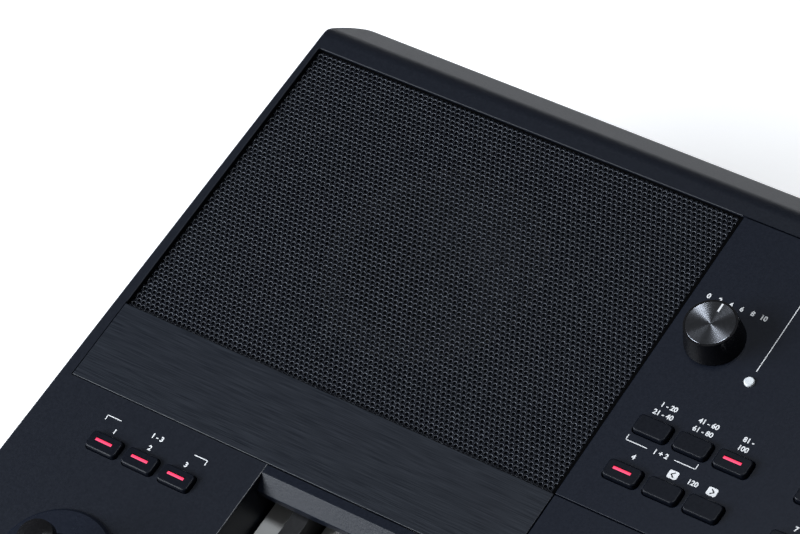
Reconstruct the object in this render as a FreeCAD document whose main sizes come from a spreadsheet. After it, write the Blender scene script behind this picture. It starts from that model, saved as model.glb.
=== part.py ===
import FreeCAD, Part
import os
import re
import Sketcher

# An arranger keyboard with 61 keys and two built-in loudspeakers.
# Millimetres. X runs along the keys, Y to the rear, Z up.
# The origin is the middle of the footprint on the table.

doc = FreeCAD.newDocument("arranger_keyboard")
dims = doc.addObject("Spreadsheet::Sheet", "dims")

SIZES = [
    # Case
    ("case_width", 1001, "outside width of the case at the front"),
    ("case_depth", 392, "outside depth of the case"),
    ("side_taper", 5.4, "each side, nearer to the middle at the rear"),
    ("case_height", 110, "case without its feet"),
    ("lower_depth", 34, "height of the lower tray"),
    ("wall", 3, "moulded wall"),
    ("corner_radius", 20, "corners of the case seen from above"),
    ("edge_radius", 1.5, "rounding of the upper outer edges"),
    ("bottom_chamfer", 3, "lower edge of the tray"),
    ("foot_height", 6, "rubber foot"),
    ("foot_radius", 11, "rubber foot"),
    ("side_rim", 8.5, "grille opening, from the front corners inwards"),
    ("rear_band", 26.2, "grille to the rear wall"),
    ("rear_run", 16, "slope along the rear top edge, towards the rear"),
    ("rear_drop", 13, "slope along the rear top edge, down"),
    ("crease_radius", 12, "upper rounding of that slope"),
    ("brow_radius", 6, "lower rounding of that slope"),
    ("opening_corner", 2.5, "rear corners of the grille openings"),
    ("seam", 0.5, "gap between panel pieces"),
    ("panel_thickness", 3, "top panels"),
    ("left_cheek_width", 116.9, "block left of the keys, at the front"),
    ("right_cheek_width", 33.58, "block right of the keys, at the front"),
    ("nose_run", 22, "slope at the front of the cheeks"),
    ("nose_drop", 18, "slope at the front of the cheeks"),
    ("rail_depth", 11, "front rail"),
    ("rail_drop", 10, "front rail below the key tops"),
    # Grille, trim and loudspeaker
    ("grille_width_share", 0.2297702, "grille opening, share of the case width"),
    ("grille_depth_share", 0.399745, "grille opening, share of the case depth"),
    ("grille_thickness", 1, "perforated sheet"),
    ("trim_depth_share", 0.107143, "brushed plate before the grille, share of the case depth"),
    ("driver_radius", 46, "hole for the loudspeaker"),
    ("driver_depth", 48, "flange to the back of the magnet"),
    ("flange_radius", 52, "loudspeaker flange"),
    ("flange_thickness", 3, "loudspeaker flange"),
    ("baffle_thickness", 8, "top of the loudspeaker box"),
    ("shelf_thickness", 5, "shelf under the brushed plate"),
    # Lip over the keys
    ("lip_strip", 4.3, "level strip before the plate"),
    ("lip_run", 6.5, "slanted face, forward"),
    ("lip_drop", 6, "slanted face, down"),
    ("lip_height", 10, "whole lip"),
    ("lip_wall", 2.5, "lip wall"),
    # Keys
    ("key_gap", 1, "between two keys"),
    ("key_side_gap", 1, "between the end keys and the cheeks"),
    ("key_front_gap", 1.5, "between the keys and the front rail"),
    ("key_drop", 22, "white key top below the panel"),
    ("key_height", 20, "white key"),
    ("key_wall", 2.5, "white key shell"),
    ("key_dip", 10, "travel at the front of a key"),
    ("white_head", 50, "wide front of a white key"),
    ("black_width", 11, "black key"),
    ("black_rise", 11, "black key above the white keys"),
    ("black_draft", 1.2, "black key, each side narrower on top"),
    ("black_nose", 6, "slope at the front of a black key"),
    ("pivot_setback", 21, "pivot behind the lip line"),
    ("pivot_drop", 10, "pivot below the key tops"),
    ("pivot_radius", 2.5, "round nose of the hook rail"),
    ("pivot_clearance", 0.3, "key hook around that nose"),
    ("key_tail", 6, "key behind its pivot"),
    ("web_thickness", 2, "web that carries the nose"),
    ("chassis_drop", 15, "chassis plate below the keys"),
    ("chassis_sheet", 3, "chassis plate"),
    # Buttons
    ("button_width", 16.9, "foot of a button cap"),
    ("button_depth", 9.2, "foot of a button cap"),
    ("button_rise", 2.3, "cap above the panel"),
    ("button_corner", 2.2, "corner of a cap"),
    ("button_draft", 2.5, "slope of the cap sides in degrees"),
    ("button_edge", 0.8, "rounded upper edge"),
    ("button_gap", 0.3, "cap to panel"),
    ("button_flange", 1.2, "flange wider than the cap"),
    ("button_travel", 1, "press"),
    ("button_pitch", 19.8, "from one button to the next"),
    ("button_row", 24.4, "from one row to the next"),
    ("lens_length", 8.9, "window in a lit button"),
    ("lens_width", 1.8, "window in a lit button"),
    ("lens_depth", 0.4, "window in a lit button"),
    ("lens_aside", 0.3, "window left of the middle"),
    ("lens_behind", 0.6, "window behind the middle"),
    ("board_drop", 6, "switch board below the panels"),
    ("board_thickness", 1.6, "circuit boards"),
    ("switch_height", 3, "switch under a button"),
    ("frame_bar", 8, "bars of the panel frame"),
    # Places on the control panel: from its sides, and as shares of its depth from the rear
    ("select_x", 21.3, "first button column"),
    ("select_share", 0.7122, "upper button row"),
    ("assign_x", 36.8, "first switch on the left cheek, from the grille opening"),
    ("assign_y", 23.9, "switches on the left cheek, before the brushed plate"),
    ("volume_x", 21.5, "volume knob"),
    ("volume_share", 0.38992, "volume knob"),
    ("indicator_x", 46, "round indicator"),
    ("indicator_share", 0.46905, "round indicator"),
    # Knob and dial
    ("knob_radius", 11.2, "top of the volume knob"),
    ("knob_height", 12.7, "volume knob"),
    ("knob_skirt", 13.8, "skirt of the volume knob"),
    ("knob_lift", 0.4, "under the skirt"),
    ("cap_thickness", 0.6, "metal disc on the knob"),
    ("stem_radius", 3, "stems of the knob and dial"),
    ("stem_length", 7, "stem below the panel top"),
    ("stem_gap", 0.5, "around a stem"),
    ("dial_radius", 20, "value dial"),
    ("dial_height", 10, "value dial"),
    ("dial_inset", 124, "value dial, from the right side of the panel"),
    ("dial_share", 0.33184, "value dial"),
    ("indicator_radius", 2.35, "round indicator"),
    # Display
    ("display_width", 124, "window"),
    ("display_depth", 68, "window"),
    ("display_x", -6, "middle of the window"),
    ("display_share", 0.351, "middle of the window"),
    # Joystick
    ("stick_x", 60.2, "from the left side of the case"),
    ("stick_share", 0.50269, "share of the cheek, from the lip line"),
    ("stick_drop", 10, "pivot below the cheek top"),
    ("dome_radius", 19, "dome around the pivot"),
    ("dome_wall", 2, "dome"),
    # Rear sockets
    ("jack_left", -20, "left end of the socket window"),
    ("jack_width", 270, "socket window"),
    ("jack_rise", 18, "socket axis above the tray floor"),
    ("jack_bore", 3.25, "phone plug hole"),
    ("jack_length", 22, "socket body behind its plate"),
    ("jack_plate_thickness", 2.4, "socket plate"),
]
for row, (name, size, note) in enumerate(SIZES, 1):
    dims.set(f"A{row}", note)
    dims.set(f"B{row}", str(size))
    dims.setAlias(f"B{row}", name)
doc.recompute()

NAMES = {name for name, size, note in SIZES}

# Levels and edges that follow from the sizes
LEVELS = {
    "left": "-case_width / 2",
    "right": "case_width / 2",
    "front": "-case_depth / 2",
    "rear": "case_depth / 2",
    "top": "foot_height + case_height",
    "split": "foot_height + lower_depth",
    "tray_floor": "foot_height + wall",
    "seat": "top - panel_thickness",
    "grille_width": "case_width * grille_width_share",
    "grille_depth": "case_depth * grille_depth_share",
    "trim_depth": "case_depth * trim_depth_share",
    "grille_left": "left + side_rim",
    "grille_right": "grille_left + grille_width",
    "grille_rear": "rear - rear_band",
    "grille_front": "grille_rear - grille_depth",
    "trim_front": "grille_front - trim_depth",
    "well_left": "left + left_cheek_width",
    "well_right": "right - right_cheek_width",
    "well_width": "well_right - well_left",
    "white_pitch": "(well_width - 2 * key_side_gap) / 36",
    "keys_left": "well_left + key_side_gap",
    "key_top": "top - key_drop",
    "key_bottom": "key_top - key_height",
    "key_front": "front + rail_depth + key_front_gap",
    "pivot_y": "trim_front + pivot_setback",
    "pivot_z": "key_top - pivot_drop",
    "key_length": "pivot_y + key_tail - key_front",
    "plate_top": "key_bottom - chassis_drop",
    "plate_bottom": "plate_top - chassis_sheet",
    "board_top": "seat - board_drop",
    "stick_x_at": "left + stick_x",
    "stick_y_at": "trim_front - (trim_front - front) * stick_share",
    "stick_z_at": "top - stick_drop",
    "volume_x_at": "grille_right + volume_x",
    "volume_y_at": "grille_rear - grille_depth * volume_share",
    "indicator_x_at": "grille_right + indicator_x",
    "indicator_y_at": "grille_rear - grille_depth * indicator_share",
    "dial_x": "-grille_right - dial_inset",
    "dial_y_at": "grille_rear - grille_depth * dial_share",
    "display_left": "display_x - display_width / 2",
    "display_front": "grille_rear - grille_depth * display_share - display_depth / 2",
    "jack_middle": "tray_floor + jack_rise",
    "jack_seam": "jack_left + jack_width * 122 / 270",
    "jack_face": "rear - wall - jack_plate_thickness",
}


def formula(text):
    """An expression with sheet sizes and levels written out."""
    def word(found):
        name = found.group(0)
        if name in LEVELS:
            return "(" + formula(LEVELS[name]) + ")"
        if name in NAMES:
            return "dims." + name
        return name
    return re.sub(r"[a-z_]+[a-z_0-9]*", word, str(text))


def measure(text):
    return float(dims.evalExpression(formula(text)))


def bind(thing, **sizes):
    for name, text in sizes.items():
        thing.setExpression(name, formula(text))
    return thing


def place(thing, x, y, z):
    thing.setExpression(".Placement.Base.x", formula(x))
    thing.setExpression(".Placement.Base.y", formula(y))
    thing.setExpression(".Placement.Base.z", formula(z))
    return thing


def box(name, x, y, z, dx, dy, dz):
    thing = doc.addObject("Part::Box", name)
    bind(thing, Length=dx, Width=dy, Height=dz)
    return place(thing, x, y, z)


def span(name, x0, x1, y0, y1, z0, z1):
    """A block between two levels in each direction."""
    return box(name, x0, y0, z0, f"({x1}) - ({x0})", f"({y1}) - ({y0})", f"({z1}) - ({z0})")


TURNS = {
    "x": FreeCAD.Rotation(FreeCAD.Vector(0, 1, 0), 90),
    "y": FreeCAD.Rotation(FreeCAD.Vector(1, 0, 0), -90),
    "z": FreeCAD.Rotation(),
}


def cylinder(name, x, y, z, radius, height, axis="z"):
    thing = doc.addObject("Part::Cylinder", name)
    thing.Placement = FreeCAD.Placement(FreeCAD.Vector(), TURNS[axis])
    bind(thing, Radius=radius, Height=height)
    return place(thing, x, y, z)


def cut(name, base, *tools):
    """One cut after another, so tools may overlap."""
    for number, tool in enumerate(tools):
        last = number == len(tools) - 1
        thing = doc.addObject("Part::Cut", name if last else f"{name}_cut")
        thing.Base = base
        thing.Tool = tool
        base = thing
    return base


def fuse(name, *parts):
    thing = doc.addObject("Part::MultiFuse", name)
    thing.Shapes = list(parts)
    thing.Refine = True
    return thing


def common(name, first, second):
    thing = doc.addObject("Part::Common", name)
    thing.Base = first
    thing.Tool = second
    return thing


def group(name, parts):
    thing = doc.addObject("Part::Compound", name)
    thing.Links = list(parts)
    return thing


def copy_at(master, name, x, y, z):
    thing = doc.addObject("App::Link", name)
    thing.LinkedObject = master
    return place(thing, x, y, z)


def outline(body, name, plane, points):
    """A closed outline of straight lines with every corner bound to the sheet."""
    sketch = body.newObject("Sketcher::SketchObject", name)
    face = next(item for item in body.Origin.OriginFeatures if item.Role == plane)
    sketch.AttachmentSupport = [(face, "")]
    sketch.MapMode = "FlatFace"
    spots = [FreeCAD.Vector(measure(a), measure(b), 0) for a, b in points]
    count = len(points)
    for number in range(count):
        sketch.addGeometry(Part.LineSegment(spots[number], spots[(number + 1) % count]))
    for number in range(count):
        after = (number + 1) % count
        sketch.addConstraint(Sketcher.Constraint("Coincident", number, 2, after, 1))
    for number, pair in enumerate(points):
        for kind, axis, text in (("DistanceX", -2, pair[0]), ("DistanceY", -1, pair[1])):
            if text == "0":
                sketch.addConstraint(Sketcher.Constraint("PointOnObject", number, 1, axis))
            else:
                rule = Sketcher.Constraint(kind, -1, 1, number, 1, measure(text))
                index = sketch.addConstraint(rule)
                sketch.setExpression(f"Constraints[{index}]", formula(text))
    return sketch


def extruded(name, plane, points, length, x, y, z):
    """A body padded from an outline."""
    body = doc.addObject("PartDesign::Body", name)
    sketch = outline(body, f"{name}_outline", plane, points)
    pad = body.newObject("PartDesign::Pad", f"{name}_pad")
    pad.Profile = sketch
    bind(pad, Length=length)
    place(body, x, y, z)
    doc.recompute()
    return body


def revolved(name, points, x, y, z, axis="z"):
    """A body turned around its own axis from a half outline."""
    body = doc.addObject("PartDesign::Body", name)
    sketch = outline(body, f"{name}_outline", "XZ_Plane", points)
    turn = body.newObject("PartDesign::Revolution", f"{name}_turn")
    turn.Profile = sketch
    turn.ReferenceAxis = (sketch, ["V_Axis"])
    turn.Angle = 360
    body.Placement = FreeCAD.Placement(FreeCAD.Vector(), TURNS[axis])
    place(body, x, y, z)
    doc.recompute()
    return body


def rounded(body, radius, pick, kind="PartDesign::Fillet"):
    """Round or bevel the edges that the pick accepts, in the body's own frame."""
    base = body.Tip
    edges = [f"Edge{number}" for number, edge in enumerate(base.Shape.Edges, 1)
             if pick(edge.CenterOfMass, edge)]
    feature = body.newObject(kind, f"{body.Name}_round")
    feature.Base = (base, edges)
    bind(feature, **{"Size" if kind.endswith("Chamfer") else "Radius": radius})
    doc.recompute()
    return body


def upright(spot, edge):
    start = edge.Vertexes[0].Point
    end = edge.Vertexes[-1].Point
    return abs(start.x - end.x) + abs(start.y - end.y) < 1e-6 and abs(start.z - end.z) > 1e-6


def rectangle(width, depth):
    return [("0", "0"), (width, "0"), (width, depth), ("0", depth)]


def tapered(width, depth):
    """A plan that is narrower at the rear, like the case."""
    return [("0", "0"), (width, "0"), (f"{width} - side_taper", depth), ("side_taper", depth)]


nodes = {}


def node(label, thing):
    thing.Label = label
    nodes[label] = thing
    return thing


# Outer form of the whole case, which gives the corner and edge rounding to each upper piece
whole = extruded("whole", "XY_Plane", tapered("case_width", "case_depth"), "top - split + 1",
                 "left", "front", "split - 1")
rounded(whole, "corner_radius", upright)
whole_height = measure("top - split + 1")
rounded(whole, "edge_radius", lambda spot, edge: abs(spot.z - whole_height) < 1e-6)

# Lower tray
tray = extruded("tray", "XY_Plane", tapered("case_width", "case_depth"), "lower_depth",
                "left", "front", "foot_height")
rounded(tray, "corner_radius", upright)
rounded(tray, "bottom_chamfer", lambda spot, edge: abs(spot.z) < 1e-6, "PartDesign::Chamfer")
hollow = extruded("tray_hollow", "XY_Plane",
                  tapered("case_width - 2 * wall", "case_depth - 2 * wall"), "lower_depth",
                  "left + wall", "front + wall", "tray_floor")
rounded(hollow, "corner_radius - wall", upright)
tray_shell = cut("tray_shell", tray, hollow)

far = "case_width * 0.44"
near = "case_width * 0.24"
SCREWS = [(x, "rear - 13.5") for x in (f"-{far}", f"-{near}", "jack_left - 80",
                                       "jack_left + jack_width + 50", far)]
SCREWS += [(x, "front + 9.7") for x in (f"-{far}", f"-{near}", 0, near, far)]
bosses = []
screw_holes = []
for number, (x, y) in enumerate(SCREWS):
    bosses.append(cylinder(f"boss{number}", x, y, "tray_floor - 1", 5, 11))
    screw_holes.append(cylinder(f"hole{number}", x, y, "foot_height - 1", 1.7, 20))
    screw_holes.append(cylinder(f"sink{number}", x, y, "foot_height - 1", 4, "wall + 1"))
for number, x in enumerate((-140, 140)):
    for row, y in enumerate(("rear - 131", "rear - 51")):
        bosses.append(cylinder(f"post{number}_{row}", x, y, "tray_floor - 1", 4, 9))
tray_solid = fuse("tray_solid", tray_shell, *bosses)
tray_holes = fuse("tray_holes", *screw_holes)
jack_window = span("jack_window", "jack_left", "jack_left + jack_width", "rear - wall - 1",
                   "rear + 1", "tray_floor", "split + 1")
node("lower_case", cut("lower_case", tray_solid, tray_holes, jack_window))

# Upper case: rear band, sloped rear edge and side rims
slope = [("0", "0"), ("rear - trim_front", "0"),
         ("rear - trim_front", "top - split - rear_drop"),
         ("rear - trim_front - rear_run", "top - split"), ("0", "top - split")]
back = extruded("back", "YZ_Plane", slope, "case_width", "left", "trim_front", "split")
back_depth = measure("rear - trim_front")
crease = (back_depth - measure("rear_run"), measure("top - split"))
brow = (back_depth, measure("top - split - rear_drop"))
rounded(back, "crease_radius", lambda spot, edge: abs(spot.y - crease[0]) + abs(spot.z - crease[1]) < 1e-6)
rounded(back, "brow_radius", lambda spot, edge: abs(spot.y - brow[0]) + abs(spot.z - brow[1]) < 1e-6)
back_form = common("back_form", back, whole)
panel_hole = span("panel_hole", "grille_left", "-grille_left", "trim_front - 1", "grille_rear",
                  "split - 1", "seat")
rim_hole = extruded("rim_hole", "XY_Plane", rectangle("-2 * grille_left", "grille_rear - trim_front + 10"),
                    "panel_thickness + 1", "grille_left", "trim_front - 10", "seat")
rim_depth = measure("grille_rear - trim_front + 10")
rounded(rim_hole, "opening_corner", lambda spot, edge: upright(spot, edge) and abs(spot.y - rim_depth) < 1e-6)
hollow_start = "(side_taper * (trim_front - 1 - corner_radius - front) / case_depth + wall)"
hollow_end = "(side_taper * (case_depth - wall) / case_depth + wall)"
hollow_depth = "rear - wall - trim_front + 1 + corner_radius"
back_plan = [(hollow_start, "0"), (f"case_width - {hollow_start}", "0"),
             (f"case_width - {hollow_end}", hollow_depth), (hollow_end, hollow_depth)]
back_hollow = extruded("back_hollow", "XY_Plane", back_plan, "top - rear_drop - 2 - wall / 2 - split + 1",
                       "left", "trim_front - 1 - corner_radius", "split - 1")
rounded(back_hollow, "corner_radius - wall", upright)
node("upper_case", cut("upper_case", back_form, panel_hole, rim_hole, back_hollow))

# Cheeks beside the keys
nose = [("0", "0"), ("trim_front - front", "0"), ("trim_front - front", "top - split"),
        ("nose_run", "top - split"), ("0", "top - split - nose_drop")]
nose_spot = (measure("nose_run"), measure("top - split"))


def cheek(name, x0, x1, room_start, room_end, outer):
    """A hollow block from the front of the case to the lip line."""
    block = extruded(f"{name}_block", "YZ_Plane", nose, f"({x1}) - ({x0})", x0, "front", "split")
    rounded(block, "nose_run / 2", lambda spot, edge: abs(spot.y - nose_spot[0])
            + abs(spot.z - nose_spot[1]) < 1e-6)
    form = common(f"{name}_form", block, whole)
    wide = f"({room_end}) - ({room_start})"
    low = extruded(f"{name}_low", "XY_Plane", rectangle(wide, "trim_front - front - 2 * wall"),
                   "top - nose_drop - 2 * wall - split + 1", room_start, "front + wall", "split - 1")
    corner = measure(wide) * outer
    rounded(low, "corner_radius - wall", lambda spot, edge: upright(spot, edge)
            and abs(spot.x - corner) + abs(spot.y) < 1e-6)
    high = span(f"{name}_high", room_start, room_end, "front + nose_run + wall",
                "trim_front - wall", "split - 1", "top - wall")
    return cut(f"{name}_shell", form, low, high)


left_shell = cheek("left", "left", "well_left", "left + wall + side_taper / 2", "well_left - wall", 0)
node("right_cheek", cheek("right", "well_right", "right", "well_right + wall",
                          "right - wall - side_taper / 2", 1))

# Buttons: one master cap, and one with a window for its light
def cap(name, lit):
    body = extruded(name, "XY_Plane", rectangle("button_width", "button_depth"),
                    "panel_thickness + button_rise + 0.2", "-button_width / 2", "-button_depth / 2",
                    "-panel_thickness - 0.2")
    body.Tip.setExpression("TaperAngle", formula("-button_draft"))
    doc.recompute()
    high = measure("panel_thickness + button_rise + 0.2")
    rounded(body, "button_corner", lambda spot, edge: abs(spot.z - high / 2) < 1e-6)
    rounded(body, "button_edge", lambda spot, edge: abs(spot.z - high) < 1e-6)
    flange = box(f"{name}_flange", "-button_width / 2 - button_flange",
                 "-button_depth / 2 - button_flange", "-panel_thickness - 1.2",
                 "button_width + 2 * button_flange", "button_depth + 2 * button_flange", 1)
    if not lit:
        return fuse(f"{name}_whole", body, flange)
    solid = fuse(f"{name}_solid", body, flange)
    slot = box(f"{name}_slot", "-lens_length / 2 - lens_aside", "-lens_width / 2 + lens_behind",
               "button_rise - lens_depth", "lens_length", "lens_width", "lens_depth + 1")
    return cut(f"{name}_whole", solid, slot)


plain_cap = cap("plain_cap", False)
lit_cap = cap("lit_cap", True)
hole_width = "(button_width + 2 * button_gap)"
hole_depth = "(button_depth + 2 * button_gap)"
hole_form = extruded("hole_form", "XY_Plane", rectangle(hole_width, hole_depth), "panel_thickness + 2",
                     f"-{hole_width} / 2", f"-{hole_depth} / 2", 0)
rounded(hole_form, "button_corner + button_gap", upright)
hole_master = group("hole_master", [hole_form])
switches = []


def button(name, x, y, lit=False):
    """A cap in its place with the switch under it, and the tool for its hole."""
    thing = copy_at(lit_cap if lit else plain_cap, name, x, y, "top")
    switches.append(box(f"{name}_switch", f"{x} - 3", f"{y} - 3", "board_top", 6, 6, "switch_height"))
    tool = copy_at(hole_master, f"{name}_hole", x, y, "seat - 1")
    return thing, tool


cheek_tools = []
for number in range(3):
    spot = f"(grille_left + assign_x + {number} * button_pitch)"
    thing, tool = button(f"assign{number}", spot, "(trim_front - assign_y)", True)
    node(f"assign_switch_{number + 1}", group(f"assign_group{number}", [thing]))
    cheek_tools.append(tool)
stick_hole = cylinder("stick_hole", "stick_x_at", "stick_y_at", "top - wall - 1", 24, "wall + 2")
cheek_posts = []
for x in (25.5, 101.5):
    for y in (16, 44):
        cheek_posts.append(cylinder("cheek_post", f"left + {x}", f"trim_front - {y}", "board_top", 2.5,
                                    "board_drop + panel_thickness - 1"))
left_solid = fuse("left_solid", left_shell, *cheek_posts)
node("left_cheek", cut("left_cheek", left_solid, group("cheek_tools", cheek_tools), stick_hole))

# Front rail below the key fronts
rail = extruded("rail", "YZ_Plane", rectangle("rail_depth", "key_top - rail_drop - split"),
                "well_width", "well_left", "front", "split")
rail_height = measure("key_top - rail_drop - split")
rounded(rail, "edge_radius * 2", lambda spot, edge: abs(spot.z - rail_height) + abs(spot.y) < 1e-6)
rail_hollow = span("rail_hollow", "well_left + wall", "well_right - wall", "front + wall",
                   "front + rail_depth - wall", "split - 1", "key_top - rail_drop - wall")
node("front_rail", cut("front_rail", rail, rail_hollow))

# Lip over the rear of the keys: level strip, slanted face and short wall
lip = [("0", "0"), ("0", "lip_height - lip_drop"), ("lip_run", "lip_height"),
       ("lip_run + lip_strip", "lip_height"), ("lip_run + lip_strip", "lip_height - lip_wall"),
       ("lip_run + lip_wall / 2", "lip_height - lip_wall"),
       ("lip_wall", "lip_height - lip_drop - lip_wall / 2"), ("lip_wall", "0")]
node("key_lip", extruded("key_lip", "YZ_Plane", lip, "well_width", "well_left",
                         "trim_front - lip_strip - lip_run", "top - lip_height"))

# Brushed plates, grilles and loudspeaker boxes, left and right
plates = []
grilles = []
boxes = []
frames = []
cones = []
basket = [("0", "0"), ("driver_radius * 0.7", "0"), ("driver_radius * 0.7", "14"),
          ("driver_radius * 0.58", "16"), ("driver_radius - 1.5", "driver_depth"),
          ("flange_radius - 0.4", "driver_depth"),
          ("flange_radius - 0.4", "driver_depth + flange_thickness"),
          ("driver_radius - 4", "driver_depth + flange_thickness"),
          ("driver_radius * 0.53", "18"), ("0", "18")]
cone = [("0", "28"), ("10", "26"), ("12", "24.5"),
        ("driver_radius - 5", "driver_depth + flange_thickness"),
        ("flange_radius - 2", "driver_depth + flange_thickness"),
        ("flange_radius - 2", "driver_depth + flange_thickness + 0.7"),
        ("driver_radius - 5.6", "driver_depth + flange_thickness + 0.7"),
        ("12.5", "26.4"), ("9.5", "28.2"), ("0", "30")]
basket_master = revolved("basket", basket, 0, 0, 0)
cone_master = revolved("cone", cone, 0, 0, 0)
for side, x0, x1 in (("left", "grille_left", "grille_right"), ("right", "-grille_right", "-grille_left")):
    middle = f"(({x0}) + ({x1})) / 2"
    depth = "(grille_front + grille_rear) / 2"
    plates.append(span(f"{side}_plate", f"{x0} + seam / 2", f"{x1} - seam / 2", "trim_front + seam",
                       "grille_front", "seat", "top"))
    sheet = extruded(f"{side}_sheet", "XY_Plane", rectangle("grille_width - 0.4", "grille_depth - 0.4"),
                     "grille_thickness", f"{x0} + 0.2", "grille_front + 0.2", "seat")
    sheet_side = 0 if side == "left" else measure("grille_width - 0.4")
    sheet_rear = measure("grille_depth - 0.4")
    grilles.append(rounded(sheet, "opening_corner", lambda spot, edge: upright(spot, edge)
                           and abs(spot.x - sheet_side) + abs(spot.y - sheet_rear) < 1e-6))
    trunk = span(f"{side}_trunk", f"{x0} + 0.2", f"{x1} - 0.2", "grille_front", "grille_rear - 0.2",
                 "tray_floor", "seat")
    shelf = span(f"{side}_shelf", f"{x0} + 0.2", f"{x1} - 0.2", "trim_front + seam",
                 "grille_front + 1", "seat - shelf_thickness", "seat")
    solid = fuse(f"{side}_solid", trunk, shelf)
    room = span(f"{side}_room", f"{x0} + 0.2 + wall", f"{x1} - 0.2 - wall", "grille_front + wall",
                "grille_rear - 0.2 - wall", "tray_floor + wall", "seat - baffle_thickness")
    mouth = cylinder(f"{side}_mouth", middle, depth, "seat - baffle_thickness - 1", "driver_radius",
                     "baffle_thickness + 2")
    ledge = cylinder(f"{side}_ledge", middle, depth, "seat - flange_thickness - 1", "flange_radius", 20)
    boxes.append(cut(f"{side}_box", solid, room, mouth, ledge))
    low = "seat - flange_thickness - 1 - driver_depth"
    frames.append(copy_at(basket_master, f"{side}_frame", middle, depth, low))
    cones.append(copy_at(cone_master, f"{side}_cone", middle, depth, low))
node("trim_plates", group("trim_plates", plates))
node("speaker_grilles", group("speaker_grilles", grilles))
node("speaker_boxes", group("speaker_boxes", boxes))
node("speaker_frames", group("speaker_frames", frames))
node("speaker_cones", group("speaker_cones", cones))

# Control panel with its buttons
panel_tools = []
columns = [f"(grille_right + select_x + {number} * button_pitch)" for number in range(3)]
upper_row = "(grille_rear - grille_depth * select_share)"
lower_row = "(grille_rear - grille_depth * select_share - button_row)"
SINGLE = [("select_button_1", 0, upper_row, False), ("select_button_2", 1, upper_row, False),
          ("select_button_3", 2, upper_row, True), ("tap_button", 0, lower_row, True),
          ("tempo_down_button", 1, lower_row, False), ("tempo_up_button", 2, lower_row, False)]
for label, column, row, lit in SINGLE:
    thing, tool = button(f"{label}_cap", columns[column], row, lit)
    node(label, group(f"{label}_group", [thing]))
    panel_tools.append(tool)


def button_bank(label, spots):
    """Buttons alike that share one node."""
    caps = []
    tools = []
    for number, (x, y) in enumerate(spots):
        thing, tool = button(f"{label}{number}", x, y)
        caps.append(thing)
        tools.append(tool)
    node(label, group(f"{label}_group", caps))
    return tools


style_start = "(grille_right + select_x + 4 * button_pitch)"
panel_tools += button_bank("style_buttons", [
    (f"{style_start} + {number} * button_pitch", row)
    for row in (upper_row, lower_row) for number in range(6)])
voice_start = "(-grille_right - select_x - 6 * button_pitch)"
panel_tools += button_bank("voice_buttons", [
    (f"{voice_start} + {number} * button_pitch", row)
    for row in (upper_row, lower_row) for number in range(7)])
panel_tools += button_bank("menu_buttons", [
    (f"(dial_x + {number} * button_pitch)", f"(dial_y_at + {row} * button_row)")
    for row in (-0.6, 0.6) for number in (2.6, 3.6)])
strip_tools = button_bank("accompaniment_buttons", [
    (f"({number} - 5.5) * (-2 * grille_right - 110) / 11", "(grille_front - trim_depth / 2)")
    for number in range(12)])

panel = span("panel", "grille_right", "-grille_right", "grille_front + seam / 2", "grille_rear - seam",
             "seat", "top")
panel_cuts = [group("panel_tools", panel_tools)]
panel_cuts.append(cylinder("volume_hole", "volume_x_at", "volume_y_at", "seat - 1",
                           "stem_radius + stem_gap", "panel_thickness + 2"))
panel_cuts.append(cylinder("dial_hole", "dial_x", "dial_y_at", "seat - 1",
                           "stem_radius + stem_gap", "panel_thickness + 2"))
panel_cuts.append(cylinder("indicator_hole", "indicator_x_at", "indicator_y_at", "seat - 1",
                           "indicator_radius + 0.1", "panel_thickness + 2"))
panel_cuts.append(box("display_hole", "display_left", "display_front", "seat - 1", "display_width",
                      "display_depth", "panel_thickness + 2"))
node("control_panel", cut("control_panel", panel, *panel_cuts))
strip = span("strip", "grille_right + seam / 2", "-grille_right - seam / 2", "trim_front + seam",
             "grille_front - seam / 2", "seat", "top")
node("center_strip", cut("center_strip", strip, group("strip_tools", strip_tools)))

# Frame under the panels, with legs to the tray floor
ring = span("ring", "grille_right + 0.3", "-grille_right - 0.3", "trim_front + seam",
            "grille_rear - 0.3", "board_top", "seat")
strip_room = span("strip_room", "grille_right + 0.3 + frame_bar", "-grille_right - 0.3 - frame_bar",
                  "trim_front + seam + frame_bar", "grille_front - frame_bar / 2",
                  "board_top - 1", "seat + 1")
panel_room = span("panel_room", "grille_right + 0.3 + frame_bar", "-grille_right - 0.3 - frame_bar",
                  "grille_front + frame_bar / 2", "grille_rear - 0.3 - frame_bar", "board_top - 1", "seat + 1")
ring_frame = cut("ring_frame", ring, strip_room, panel_room)
legs = []
for side, x in (("left", "grille_right + 0.3"), ("right", "-grille_right - 5.3")):
    for end, y in (("front", "grille_front - frame_bar / 2"), ("rear", "grille_rear - 5.3")):
        legs.append(span(f"{side}_{end}_leg", x, f"{x} + 5", y, f"{y} + 5", "tray_floor",
                         "board_top + 1"))
node("panel_frame", fuse("panel_frame", ring_frame, *legs))

# Display
node("display_window", box("display_window", "display_left + 0.2", "display_front + 0.2", "top - 2.3",
                           "display_width - 0.4", "display_depth - 0.4", 2))
node("display_module", box("display_module", "display_left + 1.5", "display_front + 1.5", "board_top",
                           "display_width - 3", "display_depth - 3",
                           "board_drop + panel_thickness - 2.5"))

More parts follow.
